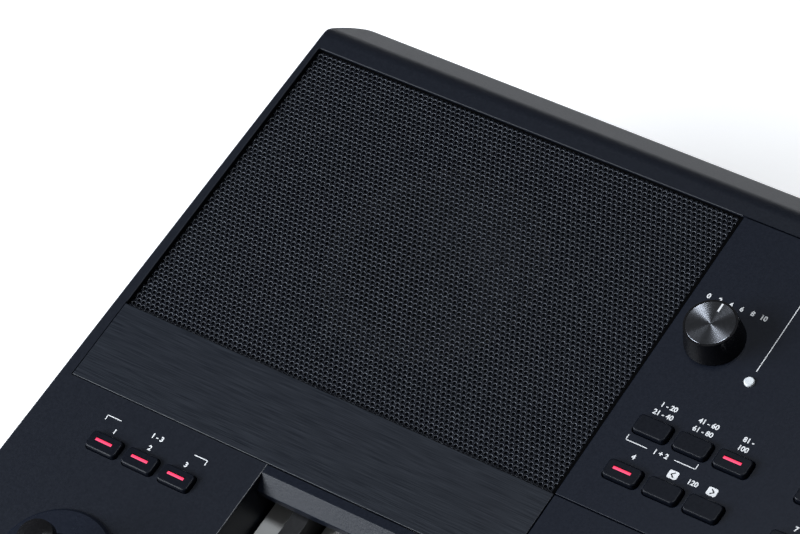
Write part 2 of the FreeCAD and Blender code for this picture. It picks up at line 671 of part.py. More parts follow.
# Volume knob with a metal disc, and the value dial
lift = "stem_length + knob_lift"
crown = "stem_length + knob_height"
knob = [("0", "0"), ("stem_radius", "0"), ("stem_radius", lift), ("knob_skirt", lift),
        ("knob_skirt", f"{lift} + 1.2"), ("knob_radius + 0.8", f"{lift} + 1.8"),
        ("knob_radius", f"{crown} - 0.5"), ("knob_radius - 0.4", crown),
        ("knob_radius - 0.7", crown), ("knob_radius - 0.7", f"{crown} - cap_thickness"),
        ("0", f"{crown} - cap_thickness")]
node("volume_knob", revolved("volume_knob", knob, "volume_x_at", "volume_y_at", "top - stem_length"))
disc = [("0", "0"), ("knob_radius - 0.75", "0"), ("knob_radius - 0.75", "cap_thickness - 0.1"),
        ("0", "cap_thickness - 0.1")]
node("volume_knob_cap", revolved("volume_knob_cap", disc, "volume_x_at", "volume_y_at",
                                 "top + knob_height - cap_thickness"))
dial_crown = "stem_length + dial_height"
dial = [("0", "0"), ("stem_radius", "0"), ("stem_radius", lift), ("dial_radius + 0.6", lift),
        ("dial_radius", f"{dial_crown} - 1"), ("dial_radius - 1", dial_crown), ("0", dial_crown)]
dial_form = revolved("dial_form", dial, "dial_x", "dial_y_at", "top - stem_length")
dimple = doc.addObject("Part::Sphere", "dimple")
bind(dimple, Radius="dial_radius / 2")
place(dimple, "dial_x", "dial_y_at + dial_radius * 0.6", "top + dial_height + dial_radius * 0.4")
node("value_dial", cut("value_dial", dial_form, dimple))
indicator = [("0", "0"), ("indicator_radius", "0"), ("indicator_radius", "panel_thickness + 0.6"),
             ("indicator_radius - 0.4", "panel_thickness + 1"), ("0", "panel_thickness + 1")]
node("indicator_lens", revolved("indicator_lens", indicator, "indicator_x_at", "indicator_y_at", "seat"))

# Circuit boards with the switches, controls and chips they carry
boards = list(switches)
edge = "(0.3 + 5.3)"
boards.append(span("panel_board", f"grille_right + {edge}", f"-grille_right - {edge}",
                   "grille_front + 1.5", f"grille_rear - {edge}", "board_top - board_thickness", "board_top"))
boards.append(span("strip_board", f"grille_right + {edge}", f"-grille_right - {edge}",
                   f"trim_front + {edge}", "grille_front + 0.5", "board_top - board_thickness", "board_top"))
boards.append(span("cheek_board", "left + 19.5", "left + 107.5", "trim_front - 50", "trim_front - 10",
                   "board_top - board_thickness", "board_top"))
for name, x, y in (("volume_pot", "volume_x_at", "volume_y_at"), ("dial_pot", "dial_x", "dial_y_at")):
    pot = box(f"{name}_block", f"{x} - 7", f"{y} - 7", "board_top", 14, 14, "board_drop - 0.5")
    shaft = cylinder(f"{name}_shaft", x, y, "top - stem_length - 0.5", "stem_radius + stem_gap", 20)
    boards.append(cut(name, pot, shaft))
boards.append(span("main_board", -150, 150, "rear - 141", "rear - 41", "tray_floor + 8",
                   "tray_floor + 8 + board_thickness"))
for number, (x, y, wide, deep, high) in enumerate((
        (-60, 86, 28, 28, 2), (-10, 81, 22, 22, 2), (40, 101, 14, 24, 2), (90, 116, 40, 30, 24),
        (-120, 121, 16, 50, 12))):
    boards.append(box(f"chip{number}", x, f"rear - {y}", "tray_floor + 8 + board_thickness", wide, deep, high))
boards.append(span("jack_board", "jack_left + 8", "jack_left + jack_width - 8", "jack_face - 28",
                   "jack_face - 0.3", "jack_middle - 8 - board_thickness", "jack_middle - 8"))
boards.append(box("power_switch", "jack_left + jack_width - 24", "jack_face - 16", "jack_middle - 8",
                  14, 10, 14))
boards.append(span("key_board", "keys_left + 4", "well_right - 5", "pivot_y - 112", "pivot_y - 62",
                   "plate_top", "plate_top + board_thickness"))
node("circuit_boards", group("circuit_boards", boards))

# Joystick on the left cheek: housing, gimbal ring and lever
rim = "stick_drop"
housing = [("dome_radius - 4.1", f"16 + {rim} + 2.4"), ("26.5", f"16 + {rim} + 2.4"),
           ("28", f"16 + {rim} + 1.2"), ("28", f"16 + {rim}"), ("23.6", f"16 + {rim}"),
           ("23.6", "19"), ("21.2", "19"), ("21.2", f"16 + {rim} - 1"),
           ("dome_radius - 1.8", f"16 + {rim} - 1")]
housing_ring = revolved("housing_ring", housing, "stick_x_at", "stick_y_at", "stick_z_at - 16")
base = box("stick_base", "stick_x_at - 26", "stick_y_at - 9", "stick_z_at - 16", 52, 18, 2)
posts = [box("stick_post", f"stick_x_at + {x}", "stick_y_at - 5", "stick_z_at - 15", 3.3, 10, 18.5)
         for x in (-25.5, 22.2)]
housing_solid = fuse("housing_solid", housing_ring, base, *posts)
pin_holes = cylinder("pin_holes", "stick_x_at - 30", "stick_y_at", "stick_z_at", 1.9, 60, "x")
node("joystick_housing", cut("joystick_housing", housing_solid, pin_holes))
ring_block = box("ring_block", "stick_x_at - 11", "stick_y_at - 10", "stick_z_at - 3", 22, 20, 6)
ring_window = box("ring_window", "stick_x_at - 6.5", "stick_y_at - 6.5", "stick_z_at - 4", 13, 13, 8)
ring_bore = cylinder("ring_bore", "stick_x_at", "stick_y_at - 15", "stick_z_at", 1.9, 30, "y")
ring_open = cut("ring_open", ring_block, ring_window, ring_bore)
ring_pins = [cylinder("ring_pin", f"stick_x_at + {x}", "stick_y_at", "stick_z_at", 1.5, 15.5, "x")
             for x in (-25, 9.5)]
node("joystick_gimbal", fuse("joystick_gimbal", ring_open, *ring_pins))
dome = doc.addObject("Part::Sphere", "dome")
dome.Angle1 = 22
bind(dome, Radius="dome_radius")
place(dome, "stick_x_at", "stick_y_at", "stick_z_at")
dome_room = doc.addObject("Part::Sphere", "dome_room")
bind(dome_room, Radius="dome_radius - dome_wall")
place(dome_room, "stick_x_at", "stick_y_at", "stick_z_at")
dome_shell = cut("dome_shell", dome, dome_room)
stalk = cylinder("stalk", "stick_x_at", "stick_y_at", "stick_z_at", 2.5, 30)
cross_pin = cylinder("cross_pin", "stick_x_at", "stick_y_at - 9.5", "stick_z_at", 1.5, 19, "y")
grip = [("0", "0"), ("4.5", "0"), ("4.5", "10"), ("8.5", "13"), ("9", "15"), ("8", "18"), ("4", "19.2"),
        ("0", "19.5")]
grip_form = revolved("grip", grip, "stick_x_at", "stick_y_at", "stick_z_at + dome_radius - 1")
node("joystick_lever", fuse("joystick_lever", dome_shell, stalk, cross_pin, grip_form))

# Keys. Each black key has a slot that its two white neighbours leave free.
NOTES = ["c", "c_sharp", "d", "d_sharp", "e", "f", "f_sharp", "g", "g_sharp", "a", "a_sharp", "b"]
WHITE = {"c": 0, "d": 1, "e": 2, "f": 3, "g": 4, "a": 5, "b": 6}
BLACK = {"c_sharp": 0.9, "d_sharp": 2.1, "f_sharp": 3.87, "g_sharp": 5, "a_sharp": 6.13}
NEXT = {"c": ("", "c_sharp"), "d": ("c_sharp", "d_sharp"), "e": ("d_sharp", ""),
        "f": ("", "f_sharp"), "g": ("f_sharp", "g_sharp"), "a": ("g_sharp", "a_sharp"),
        "b": ("a_sharp", "")}
hook_bore = cylinder("hook_bore", "keys_left - 5", "pivot_y", "pivot_z", "pivot_radius + pivot_clearance",
                     "well_width + 10", "x")
hook_gap = box("hook_gap", "keys_left - 5", "pivot_y", "pivot_z - web_thickness / 2 - 0.9",
               "well_width + 10", "key_tail + 1", "web_thickness + 1.8")
hook_room = fuse("hook_room", hook_bore, hook_gap)
black_front = "(key_front + white_head + key_gap)"
black_rear = "(pivot_y - 14)"


def black_middle(note, octave):
    return f"(keys_left + ({7 * octave} + {BLACK[note]}) * white_pitch)"


def black_key(name, note, octave):
    """A narrow lower bar with a tapered top."""
    middle = black_middle(note, octave)
    bar = span(f"{name}_bar", f"{middle} - black_width / 2", f"{middle} + black_width / 2", black_front,
               "pivot_y + key_tail", "key_bottom", "key_top")
    crest = doc.addObject("Part::Wedge", f"{name}_crest")
    crest.Placement = FreeCAD.Placement(FreeCAD.Vector(), FreeCAD.Rotation(FreeCAD.Vector(1, 0, 0), 90))
    bind(crest, Xmin="-black_width / 2", Xmax="black_width / 2",
         X2min="-black_width / 2 + black_draft", X2max="black_width / 2 - black_draft",
         Ymin="-1", Ymax="black_rise", Zmin=f"-({black_rear})", Zmax=f"-{black_front}",
         Z2min=f"-({black_rear})", Z2max=f"-{black_front} - black_nose")
    place(crest, middle, 0, "key_top")
    return cut(name, fuse(f"{name}_blank", bar, crest), hook_room)


slots = {}


def slot(note, octave):
    """The room of one black key between its white neighbours."""
    if (note, octave) not in slots:
        middle = black_middle(note, octave)
        slots[note, octave] = span(
            f"slot_{note}{octave}", f"{middle} - black_width / 2 - key_gap",
            f"{middle} + black_width / 2 + key_gap", "key_front + white_head", "pivot_y + key_tail + 1",
            "key_bottom - 1", "key_top + 1")
    return slots[note, octave]


def white_key(name, note, octave):
    """A shell with a wide head, and a tail between the black keys."""
    start = f"(keys_left + ({7 * octave + WHITE[note]}) * white_pitch + key_gap / 2)"
    end = f"({start} + white_pitch - key_gap)"
    before, after = NEXT[note]
    if octave == 5:
        after = ""
    blank = span(f"{name}_blank", start, end, "key_front", "pivot_y + key_tail", "key_bottom", "key_top")
    tail_start = start
    tail_end = end
    tools = []
    if before:
        tail_start = f"({black_middle(before, octave)} + black_width / 2 + key_gap)"
        tools.append(slot(before, octave))
    if after:
        tail_end = f"({black_middle(after, octave)} - black_width / 2 - key_gap)"
        tools.append(slot(after, octave))
    head_room = span(f"{name}_head", f"{start} + key_wall", f"{end} - key_wall", "key_front + key_wall",
                     "key_front + white_head - key_wall", "key_bottom - 1", "key_top - key_wall")
    tail_room = span(f"{name}_tail", f"{tail_start} + key_wall", f"{tail_end} - key_wall",
                     "key_front + white_head", "pivot_y - 10", "key_bottom - 1", "key_top - key_wall")
    return cut(name, blank, *tools, head_room, tail_room, hook_room)


for note in NOTES:
    keys = []
    for octave in range(6 if note == "c" else 5):
        make = white_key if note in WHITE else black_key
        keys.append(make(f"key_{note}{octave}", note, octave))
    node(f"keys_{note}", group(f"keys_{note}_group", keys))

# Key chassis: folded sheet with three legs, a hook rail at the rear and a guide under each white key
sheet = "chassis_sheet"
reach = "pivot_y + key_tail + 8 - key_front - 4"
tall = "plate_bottom - tray_floor"
chassis = [("0", "0"), (sheet, "0"), (sheet, tall), (f"({reach}) / 2", tall), (f"({reach}) / 2", "0"),
           (f"({reach}) / 2 + {sheet}", "0"), (f"({reach}) / 2 + {sheet}", tall),
           (f"{reach} - {sheet}", tall), (f"{reach} - {sheet}", "0"), (reach, "0"),
           (reach, "pivot_z + web_thickness / 2 - tray_floor"),
           (f"{reach} - {sheet}", "pivot_z + web_thickness / 2 - tray_floor"),
           (f"{reach} - {sheet}", f"{tall} + {sheet}"), ("0", f"{tall} + {sheet}")]
chassis_sheet_body = extruded("chassis_folded", "YZ_Plane", chassis, "36 * white_pitch", "keys_left",
                              "key_front + 4", "tray_floor")
hook_nose = cylinder("hook_nose", "keys_left", "pivot_y", "pivot_z", "pivot_radius", "36 * white_pitch", "x")
hook_web = span("hook_web", "keys_left", "keys_left + 36 * white_pitch", "pivot_y",
                "pivot_y + key_tail + 7", "pivot_z - web_thickness / 2", "pivot_z + web_thickness / 2")
guides = [box("guide", f"keys_left + ({number} + 0.5) * white_pitch - 2", "key_front + 22",
              "plate_top - 1", 4, 12, "chassis_drop + 6") for number in range(36)]
node("key_chassis", fuse("key_chassis", chassis_sheet_body, hook_nose, hook_web, *guides))

# Rubber contacts, springs and felt under the keys
pad = span("contact_pad", "keys_left + 5", "well_right - 6", "pivot_y - 98", "pivot_y - 76",
           "plate_top + board_thickness", "plate_top + board_thickness + 1.2")
domes = [box("contact", f"keys_left + ({number} + 0.5) * 36 * white_pitch / 61 - 3", "pivot_y - 91",
             "plate_top + board_thickness + 1", 6, 8, 4) for number in range(61)]
node("contact_rubber", fuse("contact_rubber", pad, *domes))
comb_rail = span("comb_rail", "keys_left + 2", "well_right - 3", "pivot_y - 52", "pivot_y - 44",
                 "plate_top", "key_bottom - 5")
fingers = [box("finger", f"keys_left + ({number} + 0.5) * 36 * white_pitch / 61 - 2.5", "pivot_y - 45",
               "key_bottom - 5.5", 5, 34, 0.5) for number in range(61)]
node("key_springs", fuse("key_springs", comb_rail, *fingers))
node("stop_felt", span("stop_felt", "keys_left + 1", "well_right - 2", "key_front + 5", "key_front + 16",
                       "plate_top", "key_bottom - key_dip - 0.4"))

# Rear sockets behind the window in the tray
PHONE = [20, 50, 80, 110]
plate_left = span("plate_left", "jack_left - 3", "jack_seam", "jack_face", "rear - wall", "tray_floor",
                  "split + 3")
plate_right = span("plate_right", "jack_seam", "jack_left + jack_width + 3", "jack_face", "rear - wall",
                   "tray_floor", "split + 3")
sockets = []
plate_tools = []


def along(share):
    """A place along the socket plate, counted on its first width."""
    return f"(jack_left + jack_width * {share} / 270)"


def socket(name, x, body_width, body_height, nose_radius, bore_radius, bore_length, body_length):
    """A block through a window of the plate, with a round nose and a blind bore."""
    block = box(f"{name}_block", f"{x} - {body_width} / 2", f"jack_face - ({body_length})",
                "jack_middle - 8", body_width, f"({body_length}) + jack_plate_thickness + 0.6", body_height)
    nose_form = cylinder(f"{name}_nose", x, "rear - wall - 1", "jack_middle", nose_radius, "wall", "y")
    bore = cylinder(f"{name}_bore", x, f"rear - 1 - {bore_length}", "jack_middle", bore_radius,
                    f"{bore_length} + 5", "y")
    plate_tools.append(box(f"{name}_hole", f"{x} - {body_width} / 2 - 0.15", "jack_face - 5",
                           "jack_middle - 8.15", f"{body_width} + 0.3", 20, f"{body_height} + 0.3"))
    return cut(name, fuse(f"{name}_form", block, nose_form), bore)


for number, x in enumerate(PHONE):
    sockets.append(socket(f"phone{number}", along(x), 15, 16, 5.2, "jack_bore", 24, "jack_length"))
sockets.append(socket("mini", along(136), 10, 16, 3.6, 1.8, 14, "jack_length - 6"))
dc_form = socket("dc", along(226), 13, 16, 5.2, 3.2, 12, "jack_length - 6")
dc_pin = cylinder("dc_pin", along(226), "rear - 14", "jack_middle", 1, 10, "y")
sockets.append(fuse("dc_socket", dc_form, dc_pin))
node("jack_sockets", group("jack_sockets", sockets))


def port(name, x, wide, high):
    """A metal shell with an open mouth and a tongue inside."""
    shell = box(f"{name}_shell", f"{x} - {wide} / 2", "rear - 17", f"jack_middle - 8", wide, 16, high)
    mouth = box(f"{name}_mouth", f"{x} - {wide} / 2 + 0.6", "rear - 14", f"jack_middle - 7.4",
                f"{wide} - 1.2", 20, f"{high} - 1.2")
    tongue = box(f"{name}_tongue", f"{x} - {wide} / 2 + 2", "rear - 15", f"jack_middle - 8 + {high} * 0.55",
                 f"{wide} - 4", 10, 1.6)
    plate_tools.append(box(f"{name}_hole", f"{x} - {wide} / 2 - 0.2", "jack_face - 5", "jack_middle - 8.2",
                           f"{wide} + 0.4", 20, f"{high} + 0.4"))
    return fuse(name, cut(f"{name}_open", shell, mouth), tongue)


node("usb_ports", group("usb_ports", [port("host_port", along(194), 14, 7),
                                      port("device_port", along(164), 12, 11)]))
power_x = "(jack_left + jack_width - 17)"
push = [("0", "0"), ("6.5", "0"), ("6.5", "1.2"), ("4.5", "1.2"), ("4.5", "wall + jack_plate_thickness + 0.7"),
        ("4", "wall + jack_plate_thickness + 1.2"), ("0", "wall + jack_plate_thickness + 1.2")]
node("power_button", revolved("power_button", push, power_x, "jack_face - 1.5", "jack_middle", "y"))
plate_tools.append(cylinder("power_hole", power_x, "jack_face - 5", "jack_middle", 4.9, 20, "y"))
plate_windows = group("plate_windows", plate_tools)
node("jack_plate", group("jack_plate", [cut("plate_left_open", plate_left, plate_windows),
                                        cut("plate_right_open", plate_right, plate_windows)]))

# Feet and case screws
foot = [("0", "0"), ("foot_radius - 1", "0"), ("foot_radius", "1"), ("foot_radius", "foot_height"),
        ("0", "foot_height")]
foot_master = revolved("foot", foot, 0, 0, 0)
node("rubber_feet", group("rubber_feet", [
    copy_at(foot_master, "foot_copy", f"{x} * (case_width / 2 - 62)", f"{y} * (case_depth / 2 - 34)", 0)
    for x in (-1, 0, 1) for y in (-1, 1)]))
screw = [("0", "0"), ("3.5", "0"), ("3.5", "2.2"), ("1.5", "2.2"), ("1.5", "11"), ("0", "12")]
screw_master = revolved("screw", screw, 0, 0, 0)
node("case_screws", group("case_screws", [
    copy_at(screw_master, "screw_copy", x, y, "foot_height + wall - 2.2") for x, y in SCREWS]))

doc.recompute()

for thing in doc.Objects:
    if "Invalid" in thing.State or "Error" in thing.State:
        raise SystemExit(f"{thing.Name} did not compute")
os.makedirs("parts", exist_ok=True)
for label, thing in nodes.items():
    shape = thing.Shape
    if shape.isNull() or not shape.isValid() or not shape.Solids:
        raise SystemExit(f"{label} has no valid shape")
    shape.exportStep(f"parts/{label}.step")
print(len(nodes), "nodes")
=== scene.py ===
# %% [markdown]
# # An arranger keyboard
# The solids of the keyboard come from CAD, packed as one model with moving bodies.
# This lesson loads them as a fixed frame and dresses them: finishes for every solid,
# perforated grilles, light bars, printed marks, a camera and studio light.

# %% Load the CAD frame
import math
import bpy
from mathutils import Matrix, Quaternion, Vector


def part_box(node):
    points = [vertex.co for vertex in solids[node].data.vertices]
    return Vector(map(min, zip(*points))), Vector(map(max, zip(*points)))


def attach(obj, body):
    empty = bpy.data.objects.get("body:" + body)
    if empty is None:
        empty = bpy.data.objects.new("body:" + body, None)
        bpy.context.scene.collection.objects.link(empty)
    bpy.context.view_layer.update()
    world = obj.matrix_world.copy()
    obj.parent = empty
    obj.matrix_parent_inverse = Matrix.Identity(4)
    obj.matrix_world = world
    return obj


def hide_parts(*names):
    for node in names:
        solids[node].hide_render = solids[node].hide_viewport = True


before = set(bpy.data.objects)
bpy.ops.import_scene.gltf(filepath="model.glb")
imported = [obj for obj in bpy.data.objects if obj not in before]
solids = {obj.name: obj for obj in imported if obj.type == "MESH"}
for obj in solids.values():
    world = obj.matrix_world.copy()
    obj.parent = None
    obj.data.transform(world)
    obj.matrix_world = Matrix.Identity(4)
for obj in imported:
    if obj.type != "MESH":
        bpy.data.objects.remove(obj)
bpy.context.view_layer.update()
bpy.ops.object.select_all(action="DESELECT")

# %% [markdown]
# ## A place to measure from
# Everything on the top panel was measured from the rear left corner of the left grille opening.
# One small function turns those millimetres, counted to the right and to the rear,
# into the frame's metres. The corner itself is read from the solids.

# %% Panel corner
GRILLE_GAP = 0.0002

panel_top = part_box("control_panel")[1].z
grille_low, grille_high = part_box("speaker_grilles")
corner = Vector((grille_low.x - GRILLE_GAP, grille_high.y + GRILLE_GAP, panel_top))


def on_panel(right, rear, up=0.0):
    """A point on the top panel, from millimetres."""
    return corner + Vector((right, rear, up)) / 1000


print("panel corner at", tuple(round(value, 4) for value in corner))

# %% [markdown]
# ## Camera
# The picture is taken from the front right with a long lens, and the camera is tilted to one side.
# Azimuth, elevation and roll give three directions at right angles: those are the columns
# of the camera's own matrix. The lens follows from the focal length in pixels.

# %% Camera
PICTURE = (800, 534)
VIEW_ANGLES = (50.16, 52.365, -20.678)
VIEW_POINT = (111.185, -81.552)
VIEW_DISTANCE = 1.77057
FOCAL_PIXELS = 4034.13
LENS_CENTER = (420.065, 262.188)
SENSOR = 36

azimuth, elevation, roll = (math.radians(angle) for angle in VIEW_ANGLES)
back = Vector((math.sin(azimuth) * math.cos(elevation),
               -math.cos(azimuth) * math.cos(elevation), math.sin(elevation)))
level = Vector((math.cos(azimuth), math.sin(azimuth), 0))
upward = back.cross(level)
side = level * math.cos(roll) + upward * math.sin(roll)
above = upward * math.cos(roll) - level * math.sin(roll)
eye = on_panel(*VIEW_POINT) + back * VIEW_DISTANCE
bpy.ops.object.camera_add(location=eye)
camera = bpy.context.object
turn = Matrix((side, above, back)).transposed().to_4x4()
camera.matrix_world = Matrix.Translation(eye) @ turn
camera.data.sensor_width = SENSOR
camera.data.lens = FOCAL_PIXELS / PICTURE[0] * SENSOR
camera.data.shift_x = (PICTURE[0] / 2 - LENS_CENTER[0]) / PICTURE[0]
camera.data.shift_y = (LENS_CENTER[1] - PICTURE[1] / 2) / PICTURE[0]
camera.data.clip_start = 0.05
camera.data.clip_end = 50
bpy.context.scene.camera = camera
bpy.context.scene.view_settings.view_transform = "Standard"
print("lens", round(camera.data.lens, 1), "mm")

# %% [markdown]
# ## Floor and light
# A studio table: a wide pale floor, a narrow soft box overhead and a larger one at the left.
# The level panel mirrors neither of them to the camera, so it stays dark, while slanted faces
# and rounded edges catch one or the other.
# The floor shows a little extra white to the camera only, so the background is white
# without more light on the keyboard, and the shadow stays.

# %% Floor
FLOOR_SIZE = 14
FLOOR_GLOW = 0.55

bpy.ops.mesh.primitive_plane_add(size=FLOOR_SIZE, location=(0, 0, 0))
floor = bpy.context.object
floor.name = "floor"
bpy.ops.object.mode_set(mode="EDIT")
bpy.ops.mesh.subdivide(number_cuts=3)
bpy.ops.object.mode_set(mode="OBJECT")
floor_finish = bpy.data.materials.new("pale floor")
floor_finish.use_nodes = True
tree = floor_finish.node_tree
shader = tree.nodes["Principled BSDF"]
shader.inputs["Roughness"].default_value = 0.9
shader.inputs["Base Color"].default_value = (0.86, 0.86, 0.87, 1)
path = tree.nodes.new("ShaderNodeLightPath")
seen = tree.nodes.new("ShaderNodeMath")
seen.operation = "MAXIMUM"
tree.links.new(path.outputs["Is Camera Ray"], seen.inputs[0])
tree.links.new(path.outputs["Is Glossy Ray"], seen.inputs[1])
glow = tree.nodes.new("ShaderNodeMath")
glow.operation = "MULTIPLY"
glow.inputs[1].default_value = FLOOR_GLOW
tree.links.new(seen.outputs[0], glow.inputs[0])
shader.inputs["Emission Color"].default_value = (1, 1, 1, 1)
tree.links.new(glow.outputs[0], shader.inputs["Emission Strength"])
floor.data.materials.append(floor_finish)
print("floor ready")

# %% Light
SKY_STRENGTH = 0.08
LAMP_COLOR = (0.88, 0.935, 1.0)

world = bpy.data.worlds.new("studio")
bpy.context.scene.world = world
world.use_nodes = True
sky = world.node_tree.nodes["Background"]
sky.inputs["Color"].default_value = (0.95, 0.97, 1.0, 1)
sky.inputs["Strength"].default_value = SKY_STRENGTH


def soft_box(name, place, aim, size, power, spin=0):
    """A large area lamp that looks at a point, spun about its own axis."""
    bpy.ops.object.light_add(type="AREA", location=place)
    lamp = bpy.context.object
    lamp.name = name
    lamp.data.shape = "RECTANGLE"
    lamp.data.size, lamp.data.size_y = size
    lamp.data.energy = power
    lamp.data.color = LAMP_COLOR
    look = (Vector(aim) - Vector(place)).to_track_quat("-Z", "Y")
    lamp.rotation_euler = (look @ Quaternion((0, 0, 1), math.radians(spin))).to_euler()


soft_box("overhead box", place=(-0.25, 0.55, 2.4), aim=(-0.25, 0.05, 0.1),
         size=(1.0, 0.36), power=17, spin=-24)
soft_box("left box", place=(-1.5, -0.95, 0.98), aim=(-0.32, -0.06, 0.1),
         size=(1.4, 0.88), power=52)
print("two soft boxes")

# %% [markdown]
# ## Finishes
# Moulded plastic, paint and metal are never one flat colour.
# Each finish mixes two close tones with a noise pattern, and the same pattern moves the
# roughness and a shallow bump. Stretching the pattern along one direction gives brushed metal.

# %% A helper for finishes
COAT_ROUGHNESS = 0.08
NOISE_RANGE = (0.3, 0.7)
RELIEF_DEPTH = 0.0005


def finish(name, tone, other, rough, spread=0.06, scale=900.0, bump=0.04,
           stretch=(1, 1, 1), metallic=0.0, specular=0.5, coat=0.0, detail=5.0):
    """A procedural finish from two tones and one noise pattern."""
    material = bpy.data.materials.new(name)
    material.use_nodes = True
    tree = material.node_tree
    shader = tree.nodes["Principled BSDF"]
    shader.inputs["Metallic"].default_value = metallic
    shader.inputs["Specular IOR Level"].default_value = specular
    shader.inputs["Coat Weight"].default_value = coat
    shader.inputs["Coat Roughness"].default_value = COAT_ROUGHNESS
    coordinates = tree.nodes.new("ShaderNodeTexCoord")
    mapping = tree.nodes.new("ShaderNodeMapping")
    mapping.inputs["Scale"].default_value = stretch
    tree.links.new(coordinates.outputs["Object"], mapping.inputs["Vector"])
    grain = tree.nodes.new("ShaderNodeTexNoise")
    grain.inputs["Scale"].default_value = scale
    grain.inputs["Detail"].default_value = detail
    tree.links.new(mapping.outputs["Vector"], grain.inputs["Vector"])
    mix = tree.nodes.new("ShaderNodeMix")
    mix.data_type = "RGBA"
    mix.inputs["A"].default_value = (*tone, 1)
    mix.inputs["B"].default_value = (*other, 1)
    contrast = tree.nodes.new("ShaderNodeMapRange")
    contrast.inputs["From Min"].default_value = NOISE_RANGE[0]
    contrast.inputs["From Max"].default_value = NOISE_RANGE[1]
    tree.links.new(grain.outputs["Fac"], contrast.inputs["Value"])
    tree.links.new(contrast.outputs["Result"], mix.inputs["Factor"])
    tree.links.new(mix.outputs["Result"], shader.inputs["Base Color"])
    gloss = tree.nodes.new("ShaderNodeMapRange")
    gloss.inputs["To Min"].default_value = rough - spread
    gloss.inputs["To Max"].default_value = rough + spread
    tree.links.new(grain.outputs["Fac"], gloss.inputs["Value"])
    tree.links.new(gloss.outputs["Result"], shader.inputs["Roughness"])
    relief = tree.nodes.new("ShaderNodeBump")
    relief.inputs["Strength"].default_value = bump
    relief.inputs["Distance"].default_value = RELIEF_DEPTH
    tree.links.new(grain.outputs["Fac"], relief.inputs["Height"])
    tree.links.new(relief.outputs["Normal"], shader.inputs["Normal"])
    return material


case_plastic = finish("moulded case", (0.0074, 0.0092, 0.0146), (0.0102, 0.0125, 0.0192),
                      0.40, specular=0.25)
panel_plastic = finish("panel plastic", (0.0054, 0.0076, 0.0145), (0.0076, 0.0102, 0.0185),
                       0.38, specular=0.25)
lip_plastic = finish("lip plastic", (0.007, 0.009, 0.015), (0.010, 0.0125, 0.020),
                     0.34, specular=0.17, bump=0.1)
button_plastic = finish("button plastic", (0.0030, 0.0042, 0.0080), (0.0046, 0.0060, 0.0106),
                        0.38, specular=0.19)
brushed_plate = finish("brushed plate", (0.006, 0.008, 0.0125), (0.023, 0.0265, 0.0345), 0.36,
                       spread=0.05, scale=60, bump=0.06, stretch=(0.9, 46, 46), specular=0.3, detail=2)
grille_paint = finish("grille paint", (0.0018, 0.0026, 0.0058), (0.0034, 0.0046, 0.0086),
                      0.20, spread=0.02, specular=0.55)
# Painted highlight: a much lighter tone for the lower rim of each grille hole, standing in for the
# light crescent on it.
rim_highlight = finish("painted rim highlight", (0.07, 0.077, 0.092), (0.18, 0.195, 0.225),
                      0.45, scale=350, specular=0.4)
dark_inside = finish("dark inside", (0.004, 0.004, 0.005), (0.006, 0.006, 0.007), 0.8)
box_black = finish("box black", (0.0035, 0.0042, 0.006), (0.005, 0.006, 0.0085),
                   0.95, specular=0.05)
white_key = finish("white key plastic", (0.80, 0.79, 0.76), (0.86, 0.855, 0.83),
                   0.18, scale=40, bump=0.01)
black_key = finish("black key plastic", (0.010, 0.010, 0.011), (0.016, 0.016, 0.017), 0.36)
knob_plastic = finish("knob plastic", (0.004, 0.004, 0.005), (0.007, 0.007, 0.008), 0.22, bump=0.01)
print("first finishes made")

# %% More finishes
rubber = finish("foot rubber", (0.012, 0.012, 0.012), (0.02, 0.02, 0.02),
                0.75, bump=0.15)
steel = finish("bright steel", (0.50, 0.50, 0.51), (0.62, 0.62, 0.63), 0.28, scale=300, metallic=1.0)
dark_steel = finish("blackened steel", (0.05, 0.05, 0.052), (0.08, 0.08, 0.082), 0.38, metallic=1.0)
board = finish("board green", (0.010, 0.10, 0.04), (0.016, 0.14, 0.055), 0.42, scale=500)
felt = finish("red felt", (0.25, 0.015, 0.015), (0.34, 0.03, 0.03), 0.95, scale=2500, bump=0.4)
grey_rubber = finish("contact rubber", (0.14, 0.14, 0.14), (0.19, 0.19, 0.19), 0.7)
paper_cone = finish("paper cone", (0.006, 0.0065, 0.008), (0.010, 0.0105, 0.012),
                    0.9, scale=700, bump=0.3, specular=0.1)
display_face = finish("display face", (0.010, 0.016, 0.020), (0.016, 0.024, 0.028), 0.30, scale=60)
display_glass = finish("display glass", (0.006, 0.007, 0.009), (0.009, 0.010, 0.012),
                       0.06, spread=0.02, scale=30, bump=0.0, coat=0.6)
white_lens = finish("white lens", (0.82, 0.86, 0.88), (0.90, 0.92, 0.93),
                    0.25, scale=400, bump=0.01)
white_print = finish("white print", (0.90, 0.90, 0.90), (0.97, 0.97, 0.97), 0.55, scale=1800)
print(len(bpy.data.materials), "materials")

# %% [markdown]
# ## Spun metal
# The disc on the volume knob was turned on a lathe. Its fine circles stretch every highlight
# into wedges that meet in the middle. Anisotropic reflection with a radial tangent does that.

# %% Spun metal
spun = finish("spun metal", (0.22, 0.23, 0.25), (0.27, 0.28, 0.31), 0.25, spread=0.004, scale=600,
              bump=0.0, metallic=1.0)
shader = spun.node_tree.nodes["Principled BSDF"]
shader.inputs["Anisotropic"].default_value = 0.92
shader.inputs["Anisotropic Rotation"].default_value = 0.25
tangent = spun.node_tree.nodes.new("ShaderNodeTangent")
tangent.direction_type = "RADIAL"
tangent.axis = "Z"
spun.node_tree.links.new(tangent.outputs["Tangent"], shader.inputs["Tangent"])
print("spun metal made")

# %% [markdown]
# ## Dressing the solids
# A solid whose shape is right only needs its finish. Each name below is one node of the CAD part.

